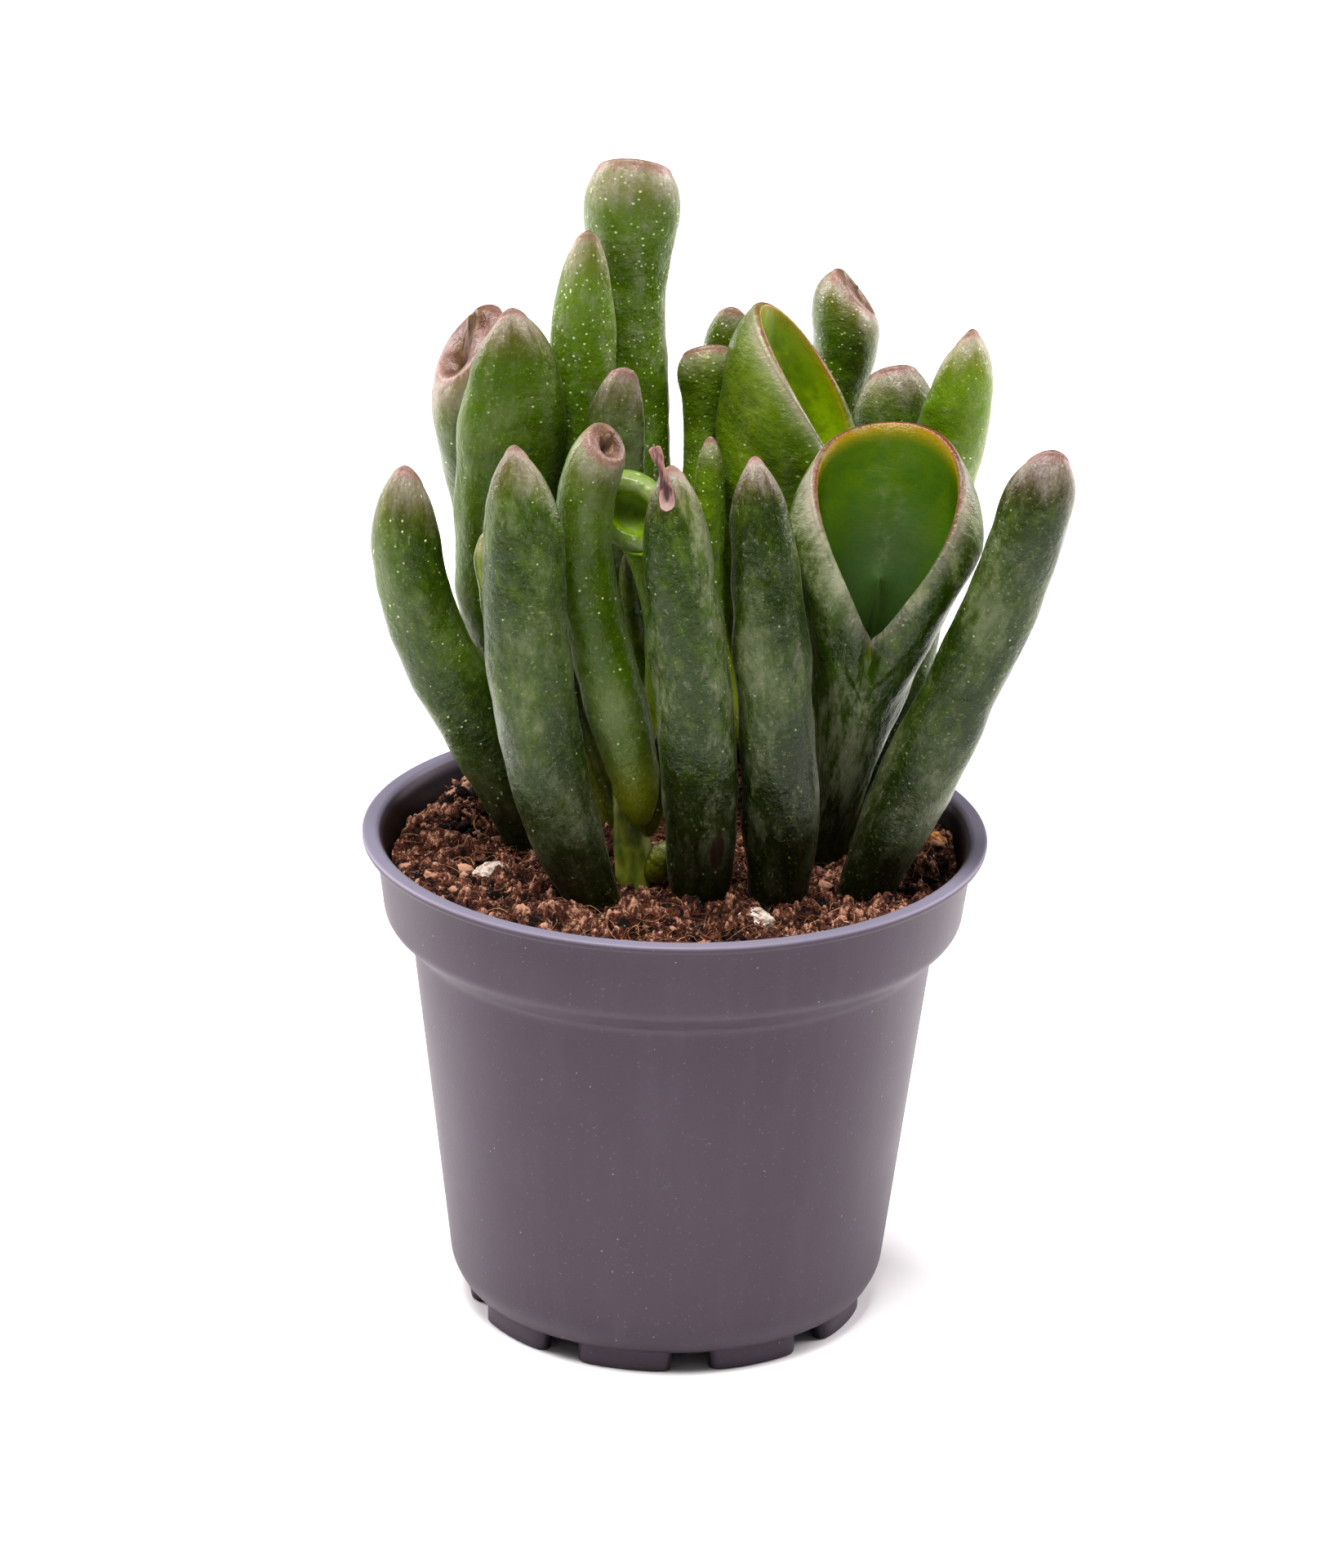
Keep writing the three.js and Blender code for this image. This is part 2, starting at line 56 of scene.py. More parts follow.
LIP = {"radius": 30.0, "top": 48.4, "drop": 0.9, "inner": 28.5}
BAND = {"top_radius": 28.7, "foot_radius": 27.7, "foot_height": 40.2}
STEP = {"radius": 25.1, "height": 37.9}
BASE = {"radius": 20.9, "height": 4.4, "corner_radius": 19.9, "corner_height": 2.6}
WALL = 0.85
WALL_RISE = 0.4
FLOOR_UNDERSIDE = 2.0
FLOOR_TOP = 3.2
FOOT = {"count": 9, "outer": 19.1, "inner": 17.2, "span": 28.0, "first": -102.0, "top": 2.5}
DRAIN = {"radius": 2.0, "ring_radius": 13.5}
GAP = 0.3
PEAT = {"level": 44.4, "dome": 1.1, "bump": 0.45}
CLUMP = {"x": -19.5, "y": 10.5, "height": 3.2, "spread": 3.4}
BANK = {"x": 25.0, "y": 2.0, "spread": 7.0, "height": 1.1}
# The lumps of the peat's surface: spacing in mm, height over spacing, and weight in its tone.
LUMPS = ((2.6, 0.45, 0.15), (1.3, 0.55, 0.3), (0.7, 0.5, 0.35), (0.42, 0.35, 0.3))

# Each stem's route, and its radius at the foot.
STEMS = {
    "stem_front": ([[-3.5, -7.5, 36], [-3.6, -7.4, 45], [-4.2, -6.8, 51], [-4.6, -5.6, 57]], 1.9),
    "stem_left": ([[-8, 7, 34], [-8.4, 7.4, 44], [-8.2, 8, 53], [-7.6, 8.6, 61]], 2.3),
    "stem_right": ([[9.5, 4, 34], [10, 4.8, 43], [10, 5.6, 50], [9.6, 6.2, 57]], 2.3),
}

# Each leaf has its route, its widths along it in mm, and what differs from LEAF. flat is thickness over
# width; face is the direction in plan that the hollow tip faces; slant is how far down the leaf the tip's
# cut reaches; rim is the mouth's share of the width; round is where the tip begins to narrow; cup is the
# bowl's depth as a share of the leaf; wall is its wall in mm; folded leaves have two lobes that meet; foot
# is the foot's share of the width. blush is the pale pink at the tip, bloom the grey wax, dots the white
# water pores, young_less_painted_shade how yellow-green a young leaf's foot is and how far the painted
# shade at its foot and in its bowl is held back, painted_light how much a brighter green stands in for
# light, each 0 to 1.
LEAF = {
    "flat": 0.85, "face": 90, "slant": 0.06, "rim": 0.45, "round": 0.83, "cup": 0.03, "wall": 0.9,
    "folded": False, "foot": 0.5, "blush": 0.8, "bloom": 0.4, "dots": 0.25, "skin": "green", "young_less_painted_shade": 0.0,
    "painted_light": 0.0,
}
LEAVES = {
    "outer_left": (
        [[-12, 2, 41.5], [-17.9, 1, 56.5], [-24, 0, 68.5], [-25.8, 1, 84]],
        [4.7, 7, 7.6, 7, 6.7], {"face": 75, "rim": 0.5, "round": 0.86, "blush": 0.7, "bloom": 0.3,
         "painted_light": 0.1},
    ),
    "left_back_spoon": (
        [[-11, 11.5, 54], [-16.8, 13.5, 68], [-19.9, 14, 81], [-20.7, 14, 95.4]],
        [3.2, 5.2, 6.2, 8.2, 10.4], {"face": 205, "slant": 0.14, "rim": 0.74, "round": 0.86,
         "cup": 0.008, "wall": 3.2, "blush": 1, "bloom": 0.3, "painted_light": 0.2},
    ),
    "left_broad": (
        [[-11, 8, 51], [-17, 7, 66.5], [-16.5, 7, 82.5], [-16.5, 8, 97.5]],
        [3.5, 6.6, 9.1, 10, 8.5], {"face": 95, "flat": 0.62, "rim": 0.36, "round": 0.76,
         "skin": "dark", "blush": 1, "bloom": 0.3, "dots": 0.12, "painted_light": 0.4},
    ),
    "front_left": (
        [[-6, -11, 42.5], [-12.3, -13, 60], [-14.3, -14, 76], [-15.4, -13, 91]],
        [4.8, 7.5, 8.1, 7.6, 6.8], {"face": 75, "rim": 0.36, "round": 0.79, "bloom": 0.5, "dots": 0.1},
    ),
    "left_young": (
        [[-9, 4.5, 51], [-14, -2.5, 62], [-17, -5, 72.5], [-18, -5, 80]],
        [2, 2.8, 3.3, 3.4, 2.6], {"face": 60, "skin": "bright", "bloom": 0.1},
    ),
    "tall_spotted": (
        [[-7.8, 8.8, 61.5], [-9, 10, 75], [-9.7, 11, 89.5], [-9.3, 11, 104.5]],
        [3.2, 5.1, 6.2, 6.3, 5.8], {"round": 0.72, "bloom": 0.85, "dots": 1, "painted_light": 0.9},
    ),
    "tallest": (
        [[-5.5, 9.5, 57.5], [-4, 14, 78], [-5, 16.5, 93.5], [-5, 17.5, 110.2]],
        [3.5, 5.2, 6.2, 6.7, 12.3], {"rim": 0.62, "round": 0.85, "bloom": 0.95, "dots": 0.9,
         "painted_light": 0.7},
    ),
    "middle_tip": (
        [[-5.6, 6.6, 57], [-5.5, 5, 70], [-6.5, 5, 81.5], [-5.5, 5, 93]],
        [3.1, 4.9, 5.6, 6, 5.2], {"rim": 0.56, "round": 0.78, "blush": 0.75, "bloom": 0.5},
    ),
    "front_neck": (
        [[-3.4, -9.4, 52.5], [-6, -9.5, 65.5], [-9, -9.2, 78.5], [-6.7, -8.8, 91]],
        [3.5, 5.6, 5.7, 5.7, 5.6], {"face": -62, "slant": 0.05, "rim": 0.8, "round": 0.93,
         "cup": 0.004, "wall": 2.4, "skin": "dark", "blush": 0.4, "bloom": 0.35, "dots": 0.15,
         "painted_light": 0.4, "young_less_painted_shade": 0.8},
    ),
    "little_cup": (
        [[-3.2, -5, 55.5], [-2.2, -3.2, 66], [-3, -2.2, 76.8], [-4.8, -5.6, 82.2]],
        [1.5, 1.8, 2.2, 5, 7.7], {"face": -90, "flat": 1.3, "slant": 0.02, "rim": 0.86, "round": 0.9,
         "cup": 0.075, "wall": 1.5, "skin": "bright", "blush": 0, "bloom": 0.05, "painted_light": 1, "young_less_painted_shade": 1},
    ),
    "front_middle": (
        [[2.5, -10, 43], [2, -14, 61], [0.5, -16, 75.5], [-1, -15, 90]],
        [5.2, 6.8, 7.3, 6.8, 6], {"round": 0.8, "blush": 0.5, "bloom": 0.9, "dots": 0.1},
    ),
    "front_right": (
        [[9.6, -10, 42.5], [9.6, -13, 60.5], [8.2, -14, 76.5], [6.7, -12, 90]],
        [5.1, 7.1, 7.2, 6.3, 5.4], {"rim": 0.36, "round": 0.78, "skin": "dark", "bloom": 0.6,
         "dots": 0.06},
    ),
    "big_trumpet": (
        [[14, -0.8, 43.5], [16.5, -4.5, 60], [18.7, -6, 76.5], [19.2, -2, 91.2]],
        [3.9, 5.4, 10.4, 17.8, 19.9], {"face": -90, "flat": 0.62, "slant": 0.46, "rim": 0.78,
         "round": 0.84, "cup": 0.34, "wall": 0.85, "folded": True, "blush": 0.15, "bloom": 1,
         "dots": 0.06},
    ),
    "folded_spoon": (
        [[9.6, 6.4, 57.5], [9.8, 9, 68.5], [11.4, 10.5, 82], [12.9, 10.5, 96.3]],
        [3.2, 6.8, 10.2, 12.9, 12.8], {"face": -20, "flat": 1.36, "slant": 0.46, "rim": 0.8,
         "round": 0.86, "cup": 0.34, "wall": 0.8, "folded": True, "skin": "bright", "blush": 0.15,
         "bloom": 0.15, "dots": 0.12, "painted_light": 0.4},
    ),
    "right_back_club": (
        [[10.6, 9, 51], [13, 17, 68], [14.7, 21.5, 84], [16.8, 23, 96.5]],
        [3, 4, 4.6, 6.6, 11.2], {"face": 0, "slant": 0.1, "rim": 0.6, "round": 0.85, "cup": 0.02,
         "wall": 1.5, "bloom": 0.3, "dots": 0.5, "painted_light": 0.4},
    ),
    "right_back_round": (
        [[12.6, 7.6, 51], [17.5, 13.5, 66], [20, 16.5, 78.5], [20, 18, 89.5]],
        [3.2, 5.5, 7, 8, 8.1], {"face": 100, "rim": 0.6, "blush": 0.7, "bloom": 0.5, "painted_light": 0.2},
    ),
    "right_back_point": (
        [[12.6, 5.6, 54], [20.8, 6, 71], [25.1, 7, 84], [26.7, 8, 96.4]],
        [3.3, 5.5, 6.8, 7.4, 6.9], {"face": 130, "rim": 0.36, "round": 0.76, "skin": "bright",
         "blush": 0.9, "bloom": 0.45, "dots": 0.2, "painted_light": 0.8},
    ),
    "outer_right": (
        [[17.2, -7.5, 42.5], [23.4, -9, 59], [29.6, -10.5, 74.5], [34.1, -10.5, 91]],
        [4.8, 7, 7.2, 7.1, 7.6], {"face": 100, "rim": 0.55, "round": 0.88, "skin": "dark",
         "blush": 0.7, "bloom": 0.45, "dots": 0.08},
    ),
    "back_spotted": (
        [[9, 9, 52], [6, 17.5, 70], [4.2, 19.5, 83], [4.5, 19.5, 94.5]],
        [3, 4, 4.8, 4.9, 5.1], {"rim": 0.6, "blush": 0.4, "bloom": 0.6, "dots": 1, "painted_light": 0.6},
    ),
    "club_spotted": (
        [[7.2, 7.4, 53.5], [2.5, 12.5, 68.5], [2, 14.5, 81], [2, 15.5, 92]],
        [2.8, 4, 4.4, 4, 7.2], {"face": 100, "rim": 0.7, "round": 0.9, "skin": "bright", "blush": 0.5,
         "bloom": 0.2, "dots": 1, "painted_light": 0.8, "young_less_painted_shade": 1},
    ),
    "middle_short": (
        [[7, 4.6, 55], [3, 5.6, 66.8], [2.5, 6.2, 76.6], [2.6, 7.2, 85.5]],
        [2.2, 2.7, 3.2, 3.2, 3.1], {"round": 0.74, "skin": "bright", "blush": 0.5, "bloom": 0.15,
         "dots": 0.9, "painted_light": 0.8, "young_less_painted_shade": 1},
    ),
    "left_inner_small": (
        [[-5.6, -6.6, 51], [-8, -5.5, 57.5], [-9.5, -5.5, 63], [-10, -5.5, 69.5]],
        [1.6, 2.2, 2.3, 2.2, 1.8], {"face": 30, "blush": 0.2, "bloom": 0.1, "young_less_painted_shade": 1},
    ),
    "bright_strip": (
        [[-4.8, -4.4, 57.5], [-3, 0, 62], [-4.2, 0.6, 69], [-5, 0.4, 76]],
        [1.7, 2, 2.3, 2.3, 1.8], {"face": 0, "skin": "bright", "blush": 0.1, "bloom": 0, "young_less_painted_shade": 1},
    ),
    "small_dark": (
        [[-2.6, -7, 50.5], [-1.4, -7.4, 55], [-1.2, -7.6, 58.5], [-1.4, -7.8, 61.5]],
        [1.4, 1.8, 2, 1.9, 1.6], {"skin": "dark", "blush": 0.1, "bloom": 0, "young_less_painted_shade": 0.4},
    ),
    "front_bud": (
        [[-2.3, -8.4, 46.5], [-1.4, -8.8, 48], [-1, -9, 49.4], [-0.9, -9, 50.6]],
        [1.6, 2.4, 2.7, 2.5, 1.8], {"blush": 0, "bloom": 0, "young_less_painted_shade": 0.8},
    ),
    "back_left": (
        [[-10, 10.4, 47], [-13.5, 17.5, 58], [-15, 21, 70], [-15.5, 22.5, 82]],
        [3.6, 5.8, 6.8, 7, 6.4], {"face": -60, "bloom": 0.6},
    ),
    "back_middle": (
        [[-7, 11, 47], [-7.5, 18.5, 60], [-7.8, 22.5, 72], [-7.5, 24.5, 84]],
        [3.4, 5.6, 6.6, 6.8, 6.2], {"face": -90, "bloom": 0.5},
    ),
    "back_inner": (
        [[-3, 9.4, 43], [-0.8, 17, 55.5], [-0.2, 20.8, 65], [-0.2, 22.3, 74]],
        [3.4, 5.2, 6, 6, 5.6], {"face": -90, "dots": 0.8},
    ),
    "back_right": (
        [[9.6, 9.8, 43], [9.8, 18.5, 54], [9.4, 24, 64], [9, 26.5, 75]],
        [3.6, 5.6, 6.6, 6.6, 6], {"face": -95, "bloom": 0.7},
    ),
    "far_right": (
        [[14.6, 8, 43], [19.5, 13.5, 52.5], [22, 17.5, 60.5], [23, 20, 68]],
        [3.6, 5.6, 6.4, 6.4, 5.8], {"face": -130, "bloom": 0.5},
    ),
    "far_left": (
        [[-12.4, 7.4, 43], [-16.5, 12.6, 51], [-19.6, 16.6, 56.5], [-21.4, 19.4, 62.5]],
        [3.4, 5, 5.8, 5.8, 5.2], {"face": -40, "bloom": 0.5},
    ),
    "back_low": (
        [[1.6, 12.4, 43], [3, 20, 50.5], [3.6, 25.4, 57], [3.4, 28.4, 64.5]],
        [3.4, 5, 5.8, 5.8, 5.2], {"face": -90},
    ),
}
# A cup deeper than this share of the leaf is green inside and finely built; others are nearly closed.
LARGE_CUP = 0.05
# What a leaf's mesh tells its material.
LEAF_VECTORS = ("skin", "place", "habit")
LEAF_VALUES = ("mark", "warm", "young_less_painted_shade", "painted_light")
# Rings and sides of a leaf's mesh.
FINE_MESH = {"sides": 72, "body": 100, "bowl": 30}
PLAIN_MESH = {"sides": 48, "body": 88, "bowl": 14}
# Brown marks on single leaves: share along the leaf, angle round it in degrees, half sizes in mm.
MARKS = {
    "front_middle": [(0.16, -60, 1.9, 0.9)],
    "outer_left": [(0.80, 180, 0.7, 0.5)],
    "big_trumpet": [(0.36, -90, 0.7, 0.6)],
    "front_right": [(0.62, 0, 1.0, 0.35)],
}
# The withered end: its route, and the radius along it.
DRIED_END = [[-1.2, -17.45, 86.3], [-1.45, -17.3, 88.6], [-2.0, -16.9, 90.8], [-2.7, -16.6, 92.6]]
DRIED_RADII = [0.35, 0.72, 0.66, 0.38, 0.36, 0.56, 0.6]

# Each grain's place, radius in mm, and stretch in plan.
GRAINS = {
    "perlite_left": ([-17.4, -5, 45.2], 1.6, 1.15),
    "perlite_front": ([7.6, -15.6, 45.3], 1.5, 1.25),
    "perlite_right": ([21, -3.4, 45.1], 0.8, 1.1),
    "bark_right": ([25.2, 4.0, 46.2], 1.0, 1.2),
    "perlite_back": ([-5, 23, 45], 1.2, 1.2),
}

# Curves and grids


def controls_through(points):
    """The four control points of the cubic curve that passes through four points at even steps."""
    p = np.array(points, float)
    second = (-5 * p[0] + 18 * p[1] - 9 * p[2] + 2 * p[3]) / 6
    third = (2 * p[0] - 9 * p[1] + 18 * p[2] - 5 * p[3]) / 6
    return np.array([p[0], second, third, p[3]])


def on_curve(controls, t):
    """The cubic curve's point and unit direction at each t: Bernstein weights times control points."""
    t = np.asarray(t, float)[..., None]
    a, b, c, d = controls
    point = (1 - t) ** 3 * a + 3 * (1 - t) ** 2 * t * b + 3 * (1 - t) * t**2 * c + t**3 * d
    along = (1 - t) ** 2 * (b - a) + 2 * (1 - t) * t * (c - b) + t**2 * (d - c)
    return point, along / np.linalg.norm(along, axis=-1, keepdims=True)


def through_stations(values, t):
    """A smooth value through evenly spaced stations, each span a cubic fitted to its neighbours."""
    v = np.array(values, float)
    v = np.concatenate([[2 * v[0] - v[1]], v, [2 * v[-1] - v[-2]]])
    last = len(values) - 1
    u = np.clip(np.asarray(t, float) * last, 0, last - 1e-6)
    i = np.floor(u).astype(int)
    f = u - i
    p, q, r, s = v[i], v[i + 1], v[i + 2], v[i + 3]
    bend = 2 * p - 5 * q + 4 * r - s
    twist = 3 * q - p - 3 * r + s
    return 0.5 * (2 * q + (r - p) * f + bend * f**2 + twist * f**3)


def closed_grid(rings, poles=None):
    """Points and faces of a body from rings (ring, side, xyz), each end drawn to a pole."""
    count, sides = rings.shape[:2]
    poles = rings[[0, -1]].mean(axis=1) if poles is None else np.array(poles)
    points = np.concatenate([poles[:1], rings.reshape(-1, 3), poles[1:]])
    i = np.arange(sides)
    j = (i + 1) % sides
    low = 1 + np.arange(count - 1)[:, None] * sides
    high = low + sides
    quads = np.stack([low + i, low + j, high + j, high + i], -1).reshape(-1, 4)
    top = 1 + (count - 1) * sides
    first = np.stack([0 * i, 1 + j, 1 + i], -1)
    last = np.stack([top + i, top + j, 0 * i + len(points) - 1], -1)
    return points, quads.tolist() + first.tolist() + last.tolist()


def many(points, faces):
    """One mesh from equal bodies: points (body, point, xyz), faces of one body repeated for each."""
    bodies, size = points.shape[:2]
    faces = np.array(faces)
    offset = (np.arange(bodies) * size)[:, None, None]
    return points.reshape(-1, 3), (faces[None] + offset).reshape(-1, faces.shape[1]).tolist()


def joined(bodies):
    """One mesh from bodies given as pairs of points and faces."""
    starts = np.cumsum([0] + [len(points) for points, _ in bodies])
    faces = [[v + int(start) for v in face] for start, body in zip(starts, bodies) for face in body[1]]
    return np.concatenate([points for points, _ in bodies]), faces


def add_piece(name, points, faces, material, nodes=(), attributes=None):
    """A smooth mesh at its place, from points in mm about the pot's axis, riding on the one body."""
    mesh = bpy.data.meshes.new(name)
    mesh.from_pydata((points * MM + POT_AXIS).tolist(), [], faces)
    mesh.shade_smooth()
    for key, values in (attributes or {}).items():
        values = np.asarray(values, np.float32)
        kind, socket = ("FLOAT_VECTOR", "vector") if values.ndim == 2 else ("FLOAT", "value")
        mesh.attributes.new(key, kind, "POINT").data.foreach_set(socket, values.ravel())
    mesh.materials.append(material)
    piece = bpy.data.objects.new(name, mesh)
    bpy.context.scene.collection.objects.link(piece)
    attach(piece, "root")
    if nodes:
        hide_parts(*nodes)
    return piece


def waves(points, size, seed, count=9):
    """Smooth uneven value of about -1 to 1: cosines of that wavelength in seeded directions, averaged."""
    pick = np.random.default_rng(seed)
    way = pick.normal(size=(count, points.shape[-1]))
    way /= np.linalg.norm(way, axis=1, keepdims=True)
    way *= (2 * np.pi / size) * pick.uniform(0.7, 1.4, (count, 1))
    return np.cos(points @ way.T + pick.uniform(0, 2 * np.pi, count)).sum(-1) / math.sqrt(count)


# Leaves


def leaf_surface(leaf, number):
    """One leaf. Elliptic sections follow the route; the share of their width falls to the mouth as a
    rounded power curve, the mouth is cut on a slant that is deepest on the hollow side, the lip is half a
    circle from the outer to the inner edge, and the bowl's radius falls as the root of one minus depth
    squared. Slow waves round and along it make the flesh uneven."""
    controls = controls_through(leaf["points"])
    face = math.radians(leaf["face"])
    facing = np.array([math.cos(face), math.sin(face), 0])
    length = np.linalg.norm(np.diff(on_curve(controls, np.linspace(0, 1, 40))[0], axis=0), axis=1).sum()
    pick = np.random.default_rng(100 + number)
    phase = pick.uniform(0, 2 * np.pi, 8)
    power, foot_round = 2.3, 0.09

    def share(s):
        tip = np.clip((s - leaf["round"]) / (1 - leaf["round"]), 0, None)
        narrow = np.clip(1 - tip**power * (1 - leaf["rim"] ** power), 0, None) ** (1 / power)
        low = np.clip((foot_round - s) / foot_round, 0, None)
        return narrow * np.sqrt(1 - low**2 * (1 - leaf["foot"] ** 2))

    def half_width(s, t):
        return through_stations(leaf["widths"], t) / 2 * share(s)

    mouth = float(half_width(1.0, 1.0))
    inner = max(0.25, 1 - leaf["wall"] / mouth)
    lip_height = min(0.4, 0.45 * (1 - inner) * mouth)
    large_mouth = leaf["folded"] or leaf["cup"] > LARGE_CUP
    mesh = FINE_MESH if large_mouth else PLAIN_MESH

    body = 1 - (1 - np.arange(mesh["body"] + 1) / mesh["body"]) ** 1.3
    lip = np.linspace(0, 1, 9)[1:-1]
    just_short_of_bottom = 1.55
    bowl = np.sin(np.linspace(0, just_short_of_bottom, mesh["bowl"]))
    narrow = np.minimum(1, mouth / half_width(1 - leaf["cup"] * bowl, 1 - leaf["cup"] * bowl))
    s = np.concatenate([body, np.ones(len(lip)), 1 - leaf["cup"] * bowl])
    shrink = np.concatenate([
        np.ones(len(body)),
        1 - (1 - inner) * (1 - np.cos(np.pi * lip)) / 2,
        inner * narrow * np.sqrt(1 - bowl**2),
    ])
    rise = np.concatenate([0 * body, lip_height * np.sin(np.pi * lip), 0 * bowl])
    depth = np.concatenate([0 * body, lip * 0.5, 0.5 + bowl * 0.5])

    angle = np.arange(mesh["sides"]) / mesh["sides"] * 2 * np.pi
    s2, angle2 = np.meshgrid(s, angle, indexing="ij")
    if leaf["folded"]:
        # away is 0 at the crease and 1 opposite it
        away = np.abs(np.arctan2(np.cos(angle2), np.sin(angle2))) / np.pi
        drop = 0.3 * (1 + np.cos(np.pi * away)) + 0.4 * (1 - away) ** 3
    else:
        drop = (1 + np.sin(angle2)) / 2
    t = s2 * (1 - leaf["slant"] * drop)
    point, along = on_curve(controls, t)
    front = facing - along * (along @ facing)[..., None]
    front /= np.linalg.norm(front, axis=-1, keepdims=True)
    across = np.cross(front, along)

    calm = np.clip((1 - s2) / 0.12, 0, 1) * np.clip(s2 / 0.1, 0, 1)
    uneven = 1 + calm * (
        0.022 * np.cos(2 * angle2 + 5 * s2 + phase[0])
        + 0.018 * np.cos(3 * angle2 - 9 * s2 + phase[1])
        + 0.014 * np.cos(4 * angle2 + 14 * s2 + phase[2])
        + 0.016 * np.sin(17 * s2 + 1.5 * np.sin(angle2) + phase[3])
        + 0.012 * np.sin(33 * s2 + 3 * np.cos(angle2) + phase[4])
    )
    radius = float(np.mean(leaf["widths"])) / 2
    shift = pick.uniform(-40, 40, 3)
    skin = radius * np.stack([np.cos(angle2), np.sin(angle2)], -1) * shrink[:, None, None]
    skin = np.concatenate([skin, (t * length)[..., None]], -1) + shift
    half = half_width(s2, t) * shrink[:, None] * uneven
    half += calm * (0.08 * waves(skin, 7.0, number) + 0.035 * waves(skin, 3.2, number + 50))
    # the skin's faint edge down both sides of the leaf
    half *= 1 + 0.022 * calm * np.exp(-((np.sin(angle2) / 0.16) ** 2))
    if leaf["folded"]:
        # the two lobes meet in a crease under the mouth's point
        crease = np.exp(-((away / 0.035) ** 2)) * np.clip((s2 - 0.80) / 0.12, 0, 1)
        dent = np.exp(-((away / 0.10) ** 2) - ((s2 - 0.79) / 0.022) ** 2)
        crease *= np.clip((0.6 - depth[:, None]) / 0.1, 0, 1)
        half *= 1 - 0.5 * crease - 0.16 * dent
    points = (
        point
        + across * (half * np.cos(angle2))[..., None]
        + front * (half * leaf["flat"] * np.sin(angle2))[..., None]
        + along * rise[:, None, None]
    )

    to_mouth = np.where(depth[:, None] > 0, 0, (1 - s2) * length * (1 - leaf["slant"] * drop))
    place = np.stack([t * length, to_mouth, 0 * s2 + depth[:, None]], -1)
    habit = np.array(np.broadcast_to([leaf["blush"], leaf["bloom"], leaf["dots"]], place.shape))
    # inside a large bowl the wax is a pale stripe down the middle of its far wall
    stripe = 0.35 * np.exp(-((np.cos(angle2) / 0.3) ** 2)) * (np.sin(angle2) < 0) * large_mouth
    habit[..., 1] = np.where(depth[:, None] > 0.5, stripe, habit[..., 1])
    if leaf["folded"]:
        # the lip's colours fade out towards the crease
        habit[..., 0] *= np.clip((0.62 - drop) / 0.25, 0, 1)
    warm = np.broadcast_to(0.0 if large_mouth else 1.0, s2.shape)
    young_less_painted_shade, painted_light = (np.broadcast_to(leaf[key], s2.shape) for key in ("young_less_painted_shade", "painted_light"))
    mark = 0 * s2
    for at, turn, tall, wide in MARKS.get(leaf["name"], []):
        side = (angle2 - math.radians(turn) + np.pi) % (2 * np.pi) - np.pi
        far = ((t - at) * length / tall) ** 2 + (side * half_width(at, at) / wide) ** 2
        mark = np.maximum(mark, np.exp(-(far**2)) * (depth[:, None] < 0.1))

    points, faces = closed_grid(points)
    grids = dict(zip(LEAF_VECTORS + LEAF_VALUES, (skin, place, habit, mark, warm, young_less_painted_shade, painted_light)))
    with_poles = {
        key: np.concatenate([grid[:1, 0], grid.reshape(-1, *grid.shape[2:]), grid[-1:, 0]])
        for key, grid in grids.items()
    }
    return points, faces, with_poles


def rod_surface(points, radii, sides=28, steps=40, seed=0, knots=0.0, flat=1.0, slit=0.0):
    """A rod along a cubic route: its radius passes through stations, swells at a few knots, and is uneven;
    flat is its depth over its width, and the top closes as a dome. A slit may open on the front of its
    lower half, deepest half way along; how deep it is at each point is returned as well."""
    controls = controls_through(points)
    t = np.concatenate([np.linspace(0, 0.94, steps), 0.94 + 0.06 * np.sin(np.linspace(0.2, 1.5, 8))])
    dome = np.sqrt(np.clip(1 - (np.clip(t - 0.94, 0, None) / 0.0605) ** 2, 0.02, 1))
    angle = np.arange(sides) / sides * 2 * np.pi
    t2, angle2 = np.meshgrid(t, angle, indexing="ij")
    place, along = on_curve(controls, t2)
    upright = np.array([0.0, 1.0, 0.0])
    front = upright - along * (along @ upright)[..., None]
    front /= np.linalg.norm(front, axis=-1, keepdims=True)
    across = np.cross(front, along)
    swell = 1 + knots * np.exp(-(((t2 * 4.5) % 1 - 0.5) / 0.13) ** 2)
    rough = 1 + 0.04 * np.cos(3 * angle2 + 7 * t2 + seed) + 0.03 * np.cos(5 * angle2 - 11 * t2 + 2 * seed)
    from_front = np.abs(angle2 - 1.5 * np.pi)
    groove = slit * np.exp(-((from_front / 0.5) ** 2)) * np.sin(np.pi * np.clip((t2 - 0.12) / 0.42, 0, 1))
    half = through_stations(radii, t2) * dome[:, None] * swell * rough * (1 - 0.55 * groove)
    rings = place + across * (half * np.cos(angle2))[..., None]
    rings += front * (half * flat * np.sin(angle2))[..., None]
    return (*closed_grid(rings), np.concatenate([[0], groove.ravel(), [0]]))


# Pot


def filleted(corners, steps=6):
    """A profile of radius, height and fillet size: each corner is rounded by a parabola between the two
    points that lie one fillet size away from it."""
    corners = [np.array(c, float) for c in corners]
    line = [corners[0][:2]]
    for before, here, after in zip(corners, corners[1:], corners[2:]):
        size = here[2]
        if size <= 0:
            line.append(here[:2])
            continue
        back = before[:2] - here[:2]
        ahead = after[:2] - here[:2]
        a = here[:2] + back * min(0.48, size / np.linalg.norm(back))
        b = here[:2] + ahead * min(0.48, size / np.linalg.norm(ahead))
        u = np.linspace(0, 1, steps)[:, None]
        line.extend((1 - u) ** 2 * a + 2 * u * (1 - u) * here[:2] + u**2 * b)
    line.append(corners[-1][:2])
    return np.array(line)


